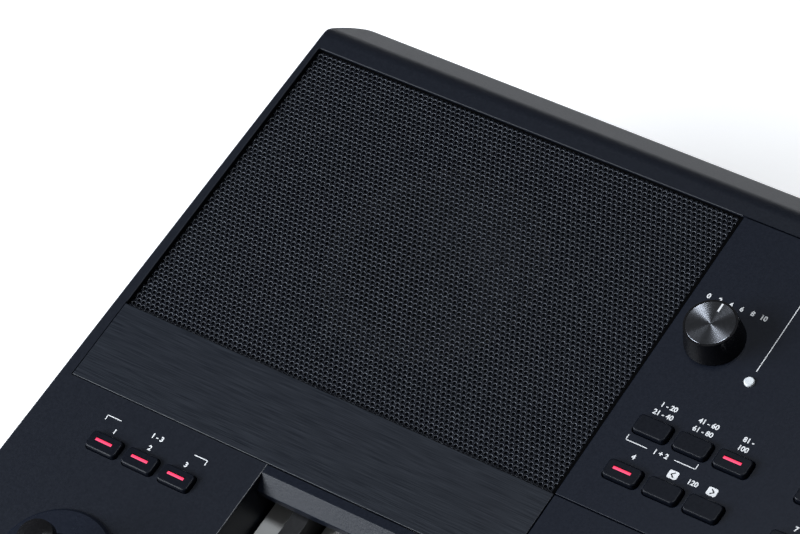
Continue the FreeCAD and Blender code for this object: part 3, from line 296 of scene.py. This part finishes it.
# %% Assign finishes
DRESS = {
    "upper_case": case_plastic, "lower_case": case_plastic, "left_cheek": case_plastic,
    "right_cheek": case_plastic, "front_rail": case_plastic, "key_lip": lip_plastic,
    "trim_plates": brushed_plate, "speaker_grilles": grille_paint, "speaker_boxes": box_black,
    "speaker_frames": dark_inside, "speaker_cones": paper_cone, "control_panel": panel_plastic,
    "center_strip": panel_plastic, "panel_frame": dark_inside, "display_window": display_glass,
    "display_module": display_face, "indicator_lens": white_lens, "circuit_boards": board,
    "joystick_housing": panel_plastic, "key_chassis": dark_inside, "contact_rubber": grey_rubber,
    "key_springs": steel, "stop_felt": felt, "jack_plate": panel_plastic, "jack_sockets": knob_plastic,
    "usb_ports": steel, "rubber_feet": rubber, "case_screws": dark_steel, "volume_knob": knob_plastic,
    "volume_knob_cap": spun, "value_dial": knob_plastic, "joystick_gimbal": dark_inside,
    "joystick_lever": knob_plastic,
}
for name, solid in solids.items():
    if name.startswith("keys_"):
        coat = black_key if name.endswith("sharp") else white_key
    else:
        coat = DRESS.get(name, button_plastic)
    solid.data.materials.clear()
    solid.data.materials.append(coat)
print("dressed", len(solids), "solids")

# %% [markdown]
# ## Soft edges
# No moulded edge is perfectly sharp, and the thin bright lines in the picture are light on
# small roundings. The solids keep their meshes; a Weld, a planar Decimate and a Bevel modifier
# are laid over them. The black keys get a smaller rounding than the white ones, because a larger
# one pushes points out at the foot of their blocks.

# %% Round the edges of the solids
SAME_PLACE = 0.00001
FLAT_ANGLE = math.radians(0.5)
SHARP_ANGLE = math.radians(35)
PANEL_ROUND = 0.0004
WHITE_KEY_ROUND = 0.0008
BLACK_KEY_ROUND = 0.0002


def soften(name, width, segments=2):
    """Round the sharp edges of a solid with modifiers."""
    solid = solids[name]
    weld = solid.modifiers.new("weld", "WELD")
    weld.merge_threshold = SAME_PLACE
    plain = solid.modifiers.new("flat faces", "DECIMATE")
    plain.decimate_type = "DISSOLVE"
    plain.angle_limit = FLAT_ANGLE
    round_off = solid.modifiers.new("rounding", "BEVEL")
    round_off.width = width
    round_off.segments = segments
    round_off.limit_method = "ANGLE"
    round_off.angle_limit = SHARP_ANGLE
    round_off.harden_normals = True
    round_off.use_clamp_overlap = False
    round_off.loop_slide = False


for name in ("trim_plates", "center_strip", "control_panel", "key_lip", "front_rail"):
    soften(name, PANEL_ROUND)
for name in solids:
    if name.startswith("keys_"):
        soften(name, BLACK_KEY_ROUND if name.endswith("sharp") else WHITE_KEY_ROUND, segments=3)
print("edges rounded")

# %% [markdown]
# ## Modelling helpers
# New pieces start as primitives. One function makes one thing active and opens it in edit mode,
# two select points or faces by a test, and two make a block or a flat sheet of a given size
# whose own origin stays at the frame's origin.

# %% Modelling helpers
def edit(thing):
    """Make one thing active and open it in edit mode."""
    bpy.ops.object.select_all(action="DESELECT")
    bpy.context.view_layer.objects.active = thing
    thing.select_set(True)
    bpy.ops.object.mode_set(mode="EDIT")


def pick_points(thing, wanted):
    """Select the mesh points that the test accepts, in edit mode."""
    bpy.ops.mesh.select_mode(type="VERT")
    bpy.ops.mesh.select_all(action="DESELECT")
    bpy.ops.object.mode_set(mode="OBJECT")
    for point in thing.data.vertices:
        point.select = wanted(point.co)
    bpy.ops.object.mode_set(mode="EDIT")


def pick_faces(thing, wanted):
    """Select the faces that the test on middle and normal accepts, in edit mode."""
    bpy.ops.mesh.select_mode(type="FACE")
    bpy.ops.mesh.select_all(action="DESELECT")
    bpy.ops.object.mode_set(mode="OBJECT")
    for face in thing.data.polygons:
        face.select = wanted(face.center, face.normal)
    bpy.ops.object.mode_set(mode="EDIT")


def new_block(name, middle, size):
    """A block of a given size around a point."""
    bpy.ops.object.select_all(action="DESELECT")
    bpy.ops.mesh.primitive_cube_add(size=1, location=middle)
    block = bpy.context.object
    block.name = name
    block.scale = size
    bpy.ops.object.transform_apply(location=True, rotation=True, scale=True)
    return block


def new_sheet(middle, wide, deep):
    """A flat rectangle around a point."""
    bpy.ops.object.select_all(action="DESELECT")
    bpy.ops.mesh.primitive_plane_add(size=1, location=middle)
    sheet = bpy.context.object
    sheet.scale = (wide, deep, 1)
    bpy.ops.object.transform_apply(location=True, rotation=True, scale=True)
    return sheet


print("five helpers ready")

# %% [markdown]
# ## Grilles
# Each grille is a sheet with thousands of round holes in a hexagonal pattern. One hole is modelled:
# a ring of twelve corners is extruded out to a hexagon, and down over two slanted rims to a short wall.
# The lower rim gets a much lighter colour: a painted highlight that shows as a light crescent.
# Two holes side by side in neighbouring rows form a cell, and two Array modifiers repeat it.
# Bisecting the pattern at the opening leaves cut holes along the edges, as in a real sheet.

# %% One hole and its neighbour
PITCH = 0.00257
HOLE = 0.00112
HOLE_SIDES = 12
RIMS = ((0.93, 0.00003), (0.87, 0.00014), (1, 0.0003))
# Height band of the lower rim, the faces that get the painted highlight.
RIM_HIGHLIGHT_BAND = (-0.00012, -0.00006)


def grille_cell():
    """A hole in a hexagon of sheet, and its neighbour in the next row."""
    bpy.ops.object.select_all(action="DESELECT")
    bpy.ops.mesh.primitive_circle_add(vertices=HOLE_SIDES, radius=HOLE, location=(0, 0, 0))
    cell = bpy.context.object
    edit(cell)
    bpy.ops.mesh.select_all(action="SELECT")
    bpy.ops.mesh.extrude_region_move(TRANSFORM_OT_translate={"value": (0, 0, 0)})
    grow = PITCH / 2 / HOLE
    bpy.ops.transform.resize(value=(grow, grow, 1), center_override=(0, 0, 0))
    pick_points(cell, lambda spot: spot.xy.length > PITCH * 0.49 and round(
        math.degrees(math.atan2(spot.y, spot.x)) - 30) % 60 == 0)
    out = 2 / math.sqrt(3)
    bpy.ops.transform.resize(value=(out, out, 1), center_override=(0, 0, 0))
    pick_points(cell, lambda spot: spot.xy.length < HOLE * 1.02)
    for narrow, drop in RIMS:
        bpy.ops.mesh.extrude_region_move(TRANSFORM_OT_translate={"value": (0, 0, -drop)})
        bpy.ops.transform.resize(value=(narrow, narrow, 1), center_override=(0, 0, 0))
    bpy.ops.mesh.select_all(action="SELECT")
    bpy.ops.mesh.duplicate_move(TRANSFORM_OT_translate={
        "value": (PITCH / 2, PITCH * math.sqrt(3) / 2, 0)})
    bpy.ops.mesh.select_all(action="SELECT")
    bpy.ops.mesh.remove_doubles(threshold=SAME_PLACE)
    bpy.ops.mesh.normals_make_consistent(inside=False)
    bpy.ops.object.mode_set(mode="OBJECT")
    cell.data.materials.append(grille_paint)
    cell.data.materials.append(rim_highlight)
    # The faces of the lower rim get the painted highlight.
    for face in cell.data.polygons:
        face.material_index = int(RIM_HIGHLIGHT_BAND[0] < face.center.z < RIM_HIGHLIGHT_BAND[1])
    return cell


first_cell = grille_cell()
print("one cell has", len(first_cell.data.polygons), "faces")

# %% Repeat the cell over a quarter of a grille and trim it
GRILLE_WIDTH = 0.2296
QUARTERS = 4
SHEET_SMOOTH = math.radians(15)


def grille_sheet(name, x0, x1, y0, y1, height):
    """Repeat the cell from the corner and cut the sheet to its opening."""
    sheet = first_cell.copy()
    sheet.data = first_cell.data.copy()
    sheet.name = name
    bpy.context.collection.objects.link(sheet)
    rows = PITCH * math.sqrt(3)
    for axis, step, length in ((0, PITCH, x1 - x0), (1, rows, y1 - y0)):
        repeat = sheet.modifiers.new("repeat", "ARRAY")
        repeat.use_relative_offset = False
        repeat.use_constant_offset = True
        offset = [0, 0, 0]
        offset[axis] = step
        repeat.constant_offset_displace = offset
        repeat.count = int(length / step) + 3
        repeat.use_merge_vertices = True
        repeat.merge_threshold = SAME_PLACE
    bpy.ops.object.select_all(action="DESELECT")
    bpy.context.view_layer.objects.active = sheet
    sheet.select_set(True)
    for modifier in list(sheet.modifiers):
        bpy.ops.object.modifier_apply(modifier=modifier.name)
    edit(sheet)
    bpy.ops.mesh.select_all(action="SELECT")
    start = (math.floor(x0 / PITCH) * PITCH - PITCH, y0 - rows, height)
    bpy.ops.transform.translate(value=start)
    for spot, normal in (((x0, 0, 0), (-1, 0, 0)), ((x1, 0, 0), (1, 0, 0)),
                         ((0, y0, 0), (0, -1, 0)), ((0, y1, 0), (0, 1, 0))):
        bpy.ops.mesh.select_all(action="SELECT")
        bpy.ops.mesh.bisect(plane_co=spot, plane_no=normal, clear_outer=True)
    bpy.ops.object.mode_set(mode="OBJECT")
    bpy.ops.object.shade_smooth_by_angle(angle=SHEET_SMOOTH)
    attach(sheet, "case")
    print(name, len(sheet.data.polygons), "faces")
    return sheet


sheet_top = grille_high.z
for side_name, x0 in (("left", grille_low.x), ("right", grille_high.x - GRILLE_WIDTH)):
    quarter = GRILLE_WIDTH / QUARTERS
    for number in range(QUARTERS):
        start = x0 + number * quarter
        piece = grille_sheet(f"{side_name}_grille_{number + 1}", start, start + quarter,
                             grille_low.y, grille_high.y, sheet_top)
        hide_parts("speaker_grilles")
bpy.data.objects.remove(first_cell)

# %% [markdown]
# ## Painted shade around the grilles
# A near-black strip lies over each edge of a sheet, in the narrow gap to its opening: painted shade
# that shows as the dark line around the holes. Each strip is a block with rounded long edges.

# %% Strips of painted shade
SHADE_STRIP_LIFT = 0.00005
SHADE_STRIP_HEIGHT = 0.0005
SHADE_STRIP_ROUND = 0.00015
SHADE_STRIP_OUTER = 0.0007
SHADE_STRIP_INNER = 0.0022
SHADE_STRIP_FRONT = 0.0006
SHADE_STRIP_REAR = 0.0008

# Painted shade: a near-black finish for the strips in the gaps around the grilles.
gap_shade = finish("painted gap shade", (0.0006, 0.0006, 0.0008), (0.0014, 0.0014, 0.0017),
              0.95, specular=0.05, bump=0.3)


def foam_strip(name, x0, x1, y0, y1):
    """A near-black strip of painted shade between two corners."""
    middle = ((x0 + x1) / 2, (y0 + y1) / 2, sheet_top + SHADE_STRIP_LIFT)
    strip = new_block(name, middle, (x1 - x0, y1 - y0, SHADE_STRIP_HEIGHT))
    edit(strip)
    bpy.ops.mesh.select_all(action="SELECT")
    bpy.ops.mesh.bevel(offset=SHADE_STRIP_ROUND, segments=2)
    bpy.ops.object.mode_set(mode="OBJECT")
    strip.data.materials.append(gap_shade)
    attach(strip, "case")


y0, y1 = grille_low.y, grille_high.y
right_start = grille_high.x - GRILLE_WIDTH
# Four strips of painted shade along the edges of each grille.
for side_name, x0, left, right in (("left", grille_low.x, SHADE_STRIP_OUTER, SHADE_STRIP_INNER),
                                   ("right", right_start, SHADE_STRIP_INNER, SHADE_STRIP_OUTER)):
    x1 = x0 + GRILLE_WIDTH
    foam_strip(f"{side_name}_gap_shade_1", x0, x0 + left, y0, y1)
    foam_strip(f"{side_name}_gap_shade_2", x1 - right, x1, y0, y1)
    foam_strip(f"{side_name}_gap_shade_3", x0 + left, x1 - right, y0, y0 + SHADE_STRIP_FRONT)
    foam_strip(f"{side_name}_gap_shade_4", x0 + left, x1 - right, y1 - SHADE_STRIP_REAR, y1)
print("eight painted shade strips")

# %% [markdown]
# ## Edges of the grille openings
# The case is rounded where it meets a grille, which shows as a thin light line at the outer
# and the rear side. A plane gets rounded corners and is inset three times, each step lower,
# so that its border becomes the rounding. What lies inside, and the two other sides, is cut away.

# %% Rounded edge of an opening
OPENING_LIFT = 0.00002
OPENING_CORNER = 0.0012
OPENING_STEPS = ((0.00014, 0.00003), (0.00013, 0.00008), (0.00012, 0.0002))
OPENING_CUT = 0.001


def opening_edge(name, x0, x1, y0, y1, outer):
    """The rounded outer and rear edge of a grille opening."""
    middle = ((x0 + x1) / 2, (y0 + y1) / 2, panel_top + OPENING_LIFT)
    edge = new_sheet(middle, x1 - x0, y1 - y0)
    edge.name = name
    edit(edge)
    bpy.ops.mesh.select_all(action="SELECT")
    bpy.ops.mesh.bevel(offset=OPENING_CORNER, segments=5, affect="VERTICES")
    bpy.ops.mesh.select_mode(type="FACE")
    bpy.ops.mesh.select_all(action="SELECT")
    for wide, deep in OPENING_STEPS:
        bpy.ops.mesh.inset(thickness=wide, depth=-deep)
    bpy.ops.mesh.delete(type="FACE")
    inner = x1 - OPENING_CUT if outer < 0 else x0 + OPENING_CUT
    for spot, normal in (((0, y0 + OPENING_CUT, 0), (0, -1, 0)), ((inner, 0, 0), (-outer, 0, 0))):
        bpy.ops.mesh.select_all(action="SELECT")
        bpy.ops.mesh.bisect(plane_co=spot, plane_no=normal, clear_outer=True)
    bpy.ops.object.mode_set(mode="OBJECT")
    bpy.ops.object.shade_smooth()
    edge.data.materials.append(case_plastic)
    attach(edge, "case")
    print(name, len(edge.data.polygons), "faces")


for side_name, x0, outer in (("left", grille_low.x, -1), ("right", right_start, 1)):
    opening_edge(f"{side_name}_opening_edge", x0 - GRILLE_GAP, x0 + GRILLE_WIDTH + GRILLE_GAP,
                 y0 - GRILLE_GAP, y1 + GRILLE_GAP, outer)

# %% [markdown]
# ## Edges of the key recess
# The blocks beside the keys are rounded along the recess, and that edge catches the light.
# Each is a slim bar over the corner of its block, with the outer upper edge bevelled.

# %% Recess edges
RECESS_START = 0.024
RECESS_OUT = 0.00005
RECESS_DOWN = 0.00028
RECESS_WIDE = 0.0005
RECESS_TALL = 0.0006
RECESS_ROUND = 0.0004
RECESS_SMOOTH = math.radians(40)
TOP_REACH = 0.0001

edge_plastic = finish("worn smooth edge", (0.0074, 0.0092, 0.0146), (0.0102, 0.0125, 0.0192),
                      0.32, specular=0.9)


def recess_edge(name, block, way):
    """The rounded upper edge of a block beside the keys."""
    low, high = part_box(block)
    side_face = high.x if way > 0 else low.x
    front, rear = low.y + RECESS_START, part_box("key_lip")[1].y
    middle = (side_face + RECESS_OUT * way, (front + rear) / 2, panel_top - RECESS_DOWN)
    edge = new_block(name, middle, (RECESS_WIDE, rear - front, RECESS_TALL))
    edit(edge)
    pick_points(edge, lambda spot: ((spot.x - side_face) * way > 0
                                    and spot.z > panel_top - TOP_REACH))
    bpy.ops.mesh.bevel(offset=RECESS_ROUND, segments=5, affect="EDGES")
    bpy.ops.object.mode_set(mode="OBJECT")
    bpy.ops.object.shade_smooth_by_angle(angle=RECESS_SMOOTH)
    edge.data.materials.append(edge_plastic)
    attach(edge, "case")
    print(name, len(edge.data.polygons), "faces")


recess_edge("left_recess_edge", "left_cheek", 1)
recess_edge("right_recess_edge", "right_cheek", -1)

# %% [markdown]
# ## Light bars
# Five buttons have a small lit window. Each bar is a block with bevelled edges in the slot of its
# button, and rides with it. The lamp sits behind the rear edge, so the glow is a deeper red there.

# %% Glow of a bar
GLOW_DEPTH = 0.0015


def bar_glow(name, middle):
    """A red glow that is deeper at the rear edge of a bar, centred on it with a Mapping node."""
    glow = bpy.data.materials.new(name)
    glow.use_nodes = True
    tree = glow.node_tree
    shader = tree.nodes["Principled BSDF"]
    shader.inputs["Base Color"].default_value = (0.5, 0.02, 0.06, 1)
    shader.inputs["Roughness"].default_value = 0.4
    shader.inputs["Emission Strength"].default_value = 1.0
    coordinates = tree.nodes.new("ShaderNodeTexCoord")
    mapping = tree.nodes.new("ShaderNodeMapping")
    mapping.inputs["Location"].default_value = (0, 0.5 - middle.y / GLOW_DEPTH, 0)
    mapping.inputs["Scale"].default_value = (1 / GLOW_DEPTH, 1 / GLOW_DEPTH, 1 / GLOW_DEPTH)
    tree.links.new(coordinates.outputs["Object"], mapping.inputs["Vector"])
    split = tree.nodes.new("ShaderNodeSeparateXYZ")
    tree.links.new(mapping.outputs["Vector"], split.inputs["Vector"])
    blend = tree.nodes.new("ShaderNodeMix")
    blend.data_type = "RGBA"
    blend.inputs["A"].default_value = (1.0, 0.13, 0.27, 1)
    blend.inputs["B"].default_value = (0.95, 0.012, 0.06, 1)
    tree.links.new(split.outputs["Y"], blend.inputs["Factor"])
    tree.links.new(blend.outputs["Result"], shader.inputs["Emission Color"])
    return glow


# %% Light bars
BAR_SIZE = (0.0086, 0.00145, 0.00034)
BAR_SHIFT = (-0.0004, 0.0003, -0.00018)
BAR_ROUND = 0.00008
LIT_BUTTONS = ("assign_switch_1", "assign_switch_2", "assign_switch_3", "select_button_3",
               "tap_button")


def light_bar(button):
    """A lit bar in the window of a button."""
    low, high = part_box(button)
    middle = (low + high) / 2
    spot = (middle.x + BAR_SHIFT[0], middle.y + BAR_SHIFT[1], high.z + BAR_SHIFT[2])
    bar = new_block(f"{button}_light", spot, BAR_SIZE)
    edit(bar)
    bpy.ops.mesh.select_all(action="SELECT")
    bpy.ops.mesh.bevel(offset=BAR_ROUND, segments=2)
    bpy.ops.object.mode_set(mode="OBJECT")
    bar.data.materials.append(bar_glow(f"{button} glow", Vector(spot)))
    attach(bar, button)


for button in LIT_BUTTONS:
    light_bar(button)
print("five light bars")

# %% [markdown]
# ## Printed marks
# White lines, brackets and numerals are printed on the panel. Each stroke is a thin plate laid
# on the surface, and all strokes are joined into one piece. Numerals start as text objects
# that are turned into meshes.

# %% Strokes
PRINT_LIFT = 0.00004
INK_SPREAD = 0.032

marks = []


def stroke(start, end, width=0.4):
    """A printed line between two panel points, in millimetres."""
    a, b = on_panel(*start), on_panel(*end)
    bpy.ops.object.select_all(action="DESELECT")
    bpy.ops.mesh.primitive_plane_add(size=1, location=(a + b) / 2 + Vector((0, 0, PRINT_LIFT)))
    line = bpy.context.object
    line.scale = ((b - a).length + width / 2000, width / 1000, 1)
    line.rotation_euler.z = math.atan2(b.y - a.y, b.x - a.x)
    bpy.ops.object.transform_apply(location=True, rotation=True, scale=True)
    marks.append(line)
    return line


def numeral(text, spot, size=3.4):
    """A printed figure centred on a panel point."""
    bpy.ops.object.select_all(action="DESELECT")
    bpy.ops.object.text_add(location=on_panel(*spot) + Vector((0, 0, PRINT_LIFT)))
    figure = bpy.context.object
    figure.data.body = text
    figure.data.size = size / 1000
    figure.data.offset = size / 1000 * INK_SPREAD
    figure.data.align_x = "CENTER"
    figure.data.align_y = "CENTER"
    bpy.ops.object.convert(target="MESH")
    bpy.ops.object.transform_apply(location=True, rotation=True, scale=True)
    marks.append(bpy.context.object)


for line in (((28.6, -211.4), (28.5, -208.9)), ((28.5, -208.9), (35.7, -208.9)),
             ((76.4, -208.9), (83.4, -208.9)), ((83.4, -208.9), (83.4, -211.3)),
             ((243.1, -118), (243.1, -120.6)), ((243.1, -120.6), (253.6, -120.6)),
             ((267.3, -120.6), (277.6, -120.6)), ((277.6, -120.6), (277.6, -118)),
             ((276, -67.6), (276, -30)), ((276, -30), (300, -30))):
    stroke(*line)
print(len(marks), "strokes")

# %% Numerals
SCALE_START = 237.5
SCALE_STEP = 5.5
SCALE_ROW = -43

for text, spot in (("1", (36.4, -214.8)), ("2", (55.9, -214.8)), ("3", (75.8, -214.8)),
                   ("1 - 3", (56, -208.9)),
                   ("1 - 20", (251.6, -99)), ("21 - 40", (251.2, -103.4)), ("41 - 60", (271.3, -99)),
                   ("61 - 80", (270.9, -103.4)), ("81 -", (291, -99)), ("100", (290.6, -103.4)),
                   ("1 + 2", (260.5, -120.6)), ("4", (250.8, -126.8)), ("120", (280.2, -127))):
    numeral(text, spot)
for step in range(6):
    numeral(str(2 * step), (SCALE_START + SCALE_STEP * step, SCALE_ROW))
print(len(marks), "strokes and numerals")

# %% [markdown]
# ## Numbers of the button banks
# The other banks are numbered from left to right. A small function reads the middles of the
# buttons from the box of their bank, and every number goes just behind its button.
# A ring of short strokes goes round the value dial.

# %% Bank numbers and dial ring
CAP = Vector((0.0193, 0.0116))
NUMBER_BEHIND = 8.6
SIGN_SIZE = 4
TICKS = 24
TICK_START = 22.6
TICK_LONG = 25.4
TICK_SHORT = 24.2
BANKS = (("style_buttons", 6, 2), ("voice_buttons", 7, 2), ("accompaniment_buttons", 12, 1))


def bank_spots(bank, columns, rows=1):
    """Middles of a bank's buttons, in panel millimetres."""
    low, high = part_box(bank)
    step = Vector(((high.x - low.x - CAP.x) / (columns - 1),
                   (high.y - low.y - CAP.y) / max(rows - 1, 1)))
    for row in range(rows):
        for column in range(columns):
            spot = Vector((low.x + CAP.x / 2 + column * step.x,
                           high.y - CAP.y / 2 - row * step.y))
            yield tuple((spot - corner.xy) * 1000)


for bank, columns, rows in BANKS:
    for number, (right, rear) in enumerate(bank_spots(bank, columns, rows), 1):
        numeral(str(number), (right, rear + NUMBER_BEHIND))
for sign, (right, rear) in zip("+-<>", bank_spots("menu_buttons", 2, 2)):
    numeral(sign, (right, rear + NUMBER_BEHIND), SIGN_SIZE)
low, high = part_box("value_dial")
dial_middle = ((low + high) / 2 - corner).xy * 1000
for tick in range(TICKS):
    angle = math.radians(360 / TICKS * tick)
    way = Vector((math.cos(angle), math.sin(angle)))
    tick_end = TICK_LONG if tick % 6 == 0 else TICK_SHORT
    stroke(dial_middle + way * TICK_START, dial_middle + way * tick_end)
print(len(marks), "marks on the panel")

# %% Arrow signs
ARROW_ROW = -127
ARROW_PLATE = (4.7, 4.1, 0.9)
ARROW_LINE = 0.55


def rounded_plate(spot, wide, deep, rounding, up=0.04):
    """A thin plate with rounded corners on the panel, in millimetres."""
    plate = new_sheet(on_panel(*spot, up), wide / 1000, deep / 1000)
    edit(plate)
    bpy.ops.mesh.select_all(action="SELECT")
    bpy.ops.mesh.bevel(offset=rounding / 1000, segments=4, affect="VERTICES")
    bpy.ops.object.mode_set(mode="OBJECT")
    return plate


chevrons = []
for middle, way in ((270.5, -1), (289.7, 1)):
    marks.append(rounded_plate((middle, ARROW_ROW), *ARROW_PLATE))
    for half in (-1, 1):
        tip = (middle + 0.9 * way, ARROW_ROW)
        foot_end = (middle - 0.6 * way, ARROW_ROW + 1.2 * half)
        chevrons.append(stroke(tip, foot_end, ARROW_LINE))
        marks.remove(chevrons[-1])
print("two arrow signs")

# %% Join the marks into one piece
def join_signs(signs, name, coat):
    """Join flat signs into one piece that rides with the case."""
    bpy.ops.object.select_all(action="DESELECT")
    for sign in signs:
        sign.select_set(True)
    bpy.context.view_layer.objects.active = signs[0]
    bpy.ops.object.join()
    piece = bpy.context.object
    piece.name = name
    piece.data.materials.clear()
    piece.data.materials.append(coat)
    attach(piece, "case")
    print(name, len(piece.data.polygons), "faces")
    return piece


join_signs(marks, "printed_marks", white_print)
marks = []

# %% Join the dark strokes of the arrows and lift them over their plates
arrow_lines = join_signs(chevrons, "arrow_lines", button_plastic)
edit(arrow_lines)
bpy.ops.mesh.select_all(action="SELECT")
bpy.ops.transform.translate(value=(0, 0, PRINT_LIFT))
bpy.ops.object.mode_set(mode="OBJECT")

# %% [markdown]
# ## Figures in the display
# The display is lit: a tempo, a beat and sixteen level bars, one for each part.
# They are flat signs like the printed marks, a little above the window, with a pale glow of their own.

# %% Display figures
DISPLAY_GLOW = 0.55
PARTS = 16
PART_START = 9.5
PART_STEP = 7
LEVEL_FOOT = 12
LEVEL_LEAST = 6
LEVEL_STEP = 3.6
LEVEL_WIDE = 4.4

display_light = finish("display light", (0.50, 0.66, 0.72), (0.58, 0.74, 0.80),
                       0.4, scale=300, bump=0.01)
shader = display_light.node_tree.nodes["Principled BSDF"]
shader.inputs["Emission Color"].default_value = (0.50, 0.72, 0.80, 1)
shader.inputs["Emission Strength"].default_value = DISPLAY_GLOW
low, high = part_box("display_window")
pane = (low.xy - corner.xy) * 1000
pane_up = (high.z - panel_top) * 1000


def in_window(right, rear):
    """A place in the window, in millimetres from its front left corner."""
    return pane.x + right, pane.y + rear, pane_up


numeral("1", in_window(12, 57), 11)
numeral("4 / 4", in_window(56, 57), 9)
numeral("120", in_window(107, 57), 11)
stroke(in_window(5, 48.5), in_window(118.6, 48.5), 0.5)
for part in range(PARTS):
    right = PART_START + PART_STEP * part
    tall = LEVEL_LEAST + (part * 5 + 3) % 7 * LEVEL_STEP
    stroke(in_window(right, LEVEL_FOOT), in_window(right, LEVEL_FOOT + tall), LEVEL_WIDE)
    numeral(str(part + 1), in_window(right, 7), 3.6)
join_signs(marks, "display_figures", display_light)

# %% [markdown]
# ## Volume knob
# The knob is a black cup, a little wider at its foot, with fine grooves for the fingers and a seat
# for a metal disc. A cylinder is narrowed at the top and cut below the rim, every second edge
# under the cut is pressed in, and an inset pushed down makes the seat.

# %% Cup of the knob
KNOB_SIDES = 144
KNOB_FOOT = 0.0137
KNOB_TAPER = 0.865
RIM_HEIGHT = 0.001
GROOVE_PRESS = 0.985
GROOVE_TURN = 2.5
SEAT_RIM = 0.0008
SEAT_DEPTH = 0.0006

low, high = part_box("volume_knob_cap")
hub = (low + high) / 2
foot, crown = panel_top + 0.0004, high.z


def in_groove(spot):
    """Whether a point of the skirt belongs to a groove."""
    turn = math.degrees(math.atan2(spot.y - hub.y, spot.x - hub.x))
    return spot.z < crown - 0.0009 and round(turn / GROOVE_TURN) % 2 == 0


bpy.ops.object.select_all(action="DESELECT")
bpy.ops.mesh.primitive_cylinder_add(vertices=KNOB_SIDES, radius=KNOB_FOOT, depth=crown - foot,
                                    location=(hub.x, hub.y, (foot + crown) / 2))
cup = bpy.context.object
cup.name = "volume_knob_cup"
bpy.ops.object.transform_apply(location=True, rotation=True, scale=True)
edit(cup)
pick_points(cup, lambda spot: spot.z > crown - 0.0001)
knob_center = (hub.x, hub.y, crown)
bpy.ops.transform.resize(value=(KNOB_TAPER, KNOB_TAPER, 1), center_override=knob_center)
bpy.ops.mesh.select_all(action="SELECT")
bpy.ops.mesh.bisect(plane_co=(0, 0, crown - RIM_HEIGHT), plane_no=(0, 0, 1))
pick_points(cup, in_groove)
bpy.ops.transform.resize(value=(GROOVE_PRESS, GROOVE_PRESS, 1), center_override=knob_center)
pick_faces(cup, lambda middle, normal: normal.z > 0.9)
bpy.ops.mesh.inset(thickness=SEAT_RIM)
bpy.ops.mesh.extrude_region_move(TRANSFORM_OT_translate={"value": (0, 0, -SEAT_DEPTH)})
bpy.ops.object.mode_set(mode="OBJECT")
bpy.ops.object.shade_smooth_by_angle(angle=math.radians(50))
cup.data.materials.append(knob_plastic)
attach(cup, "volume_knob")
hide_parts("volume_knob")
print("cup has", len(cup.data.polygons), "faces")

# %% Metal disc
DISC_RADIUS = 0.01095
DISC_THICK = 0.0007
DISC_BELOW = 0.00025
DISC_ROUND = 0.0002
DISC_DISH = 0.0006

bpy.ops.object.select_all(action="DESELECT")
bpy.ops.mesh.primitive_cylinder_add(vertices=KNOB_SIDES, radius=DISC_RADIUS, depth=DISC_THICK,
                                    location=(hub.x, hub.y, crown - DISC_BELOW))
disc = bpy.context.object
disc.name = "volume_knob_disc"
bpy.ops.object.transform_apply(location=True, rotation=True, scale=True)
edit(disc)
pick_faces(disc, lambda middle, normal: normal.z > 0.9)
bpy.ops.mesh.bevel(offset=DISC_ROUND, segments=3, affect="EDGES")
pick_faces(disc, lambda middle, normal: normal.z > 0.99)
bpy.ops.mesh.poke(offset=-DISC_DISH)
bpy.ops.object.mode_set(mode="OBJECT")
bpy.ops.object.shade_smooth_by_angle(angle=math.radians(8))
disc.data.materials.append(spun)
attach(disc, "volume_knob")
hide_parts("volume_knob_cap")
print("disc has", len(disc.data.polygons), "faces")

# %% [markdown]
# ## Pointer of the knob
# A white line is let into the metal disc, from about half the radius to the edge.

# %% Pointer
POINTER_SIZE = (0.0009, 0.0042, 0.0004)
POINTER_OUT = 0.0085
POINTER_BELOW = 0.00004
POINTER_ROUND = 0.00004

pointer_middle = (hub.x, hub.y + POINTER_OUT, crown - POINTER_BELOW)
pointer = new_block("knob_pointer", pointer_middle, POINTER_SIZE)
edit(pointer)
bpy.ops.mesh.select_all(action="SELECT")
bpy.ops.mesh.bevel(offset=POINTER_ROUND, segments=1)
bpy.ops.object.mode_set(mode="OBJECT")
pointer.data.materials.append(white_print)
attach(pointer, "volume_knob")
print("pointer placed")
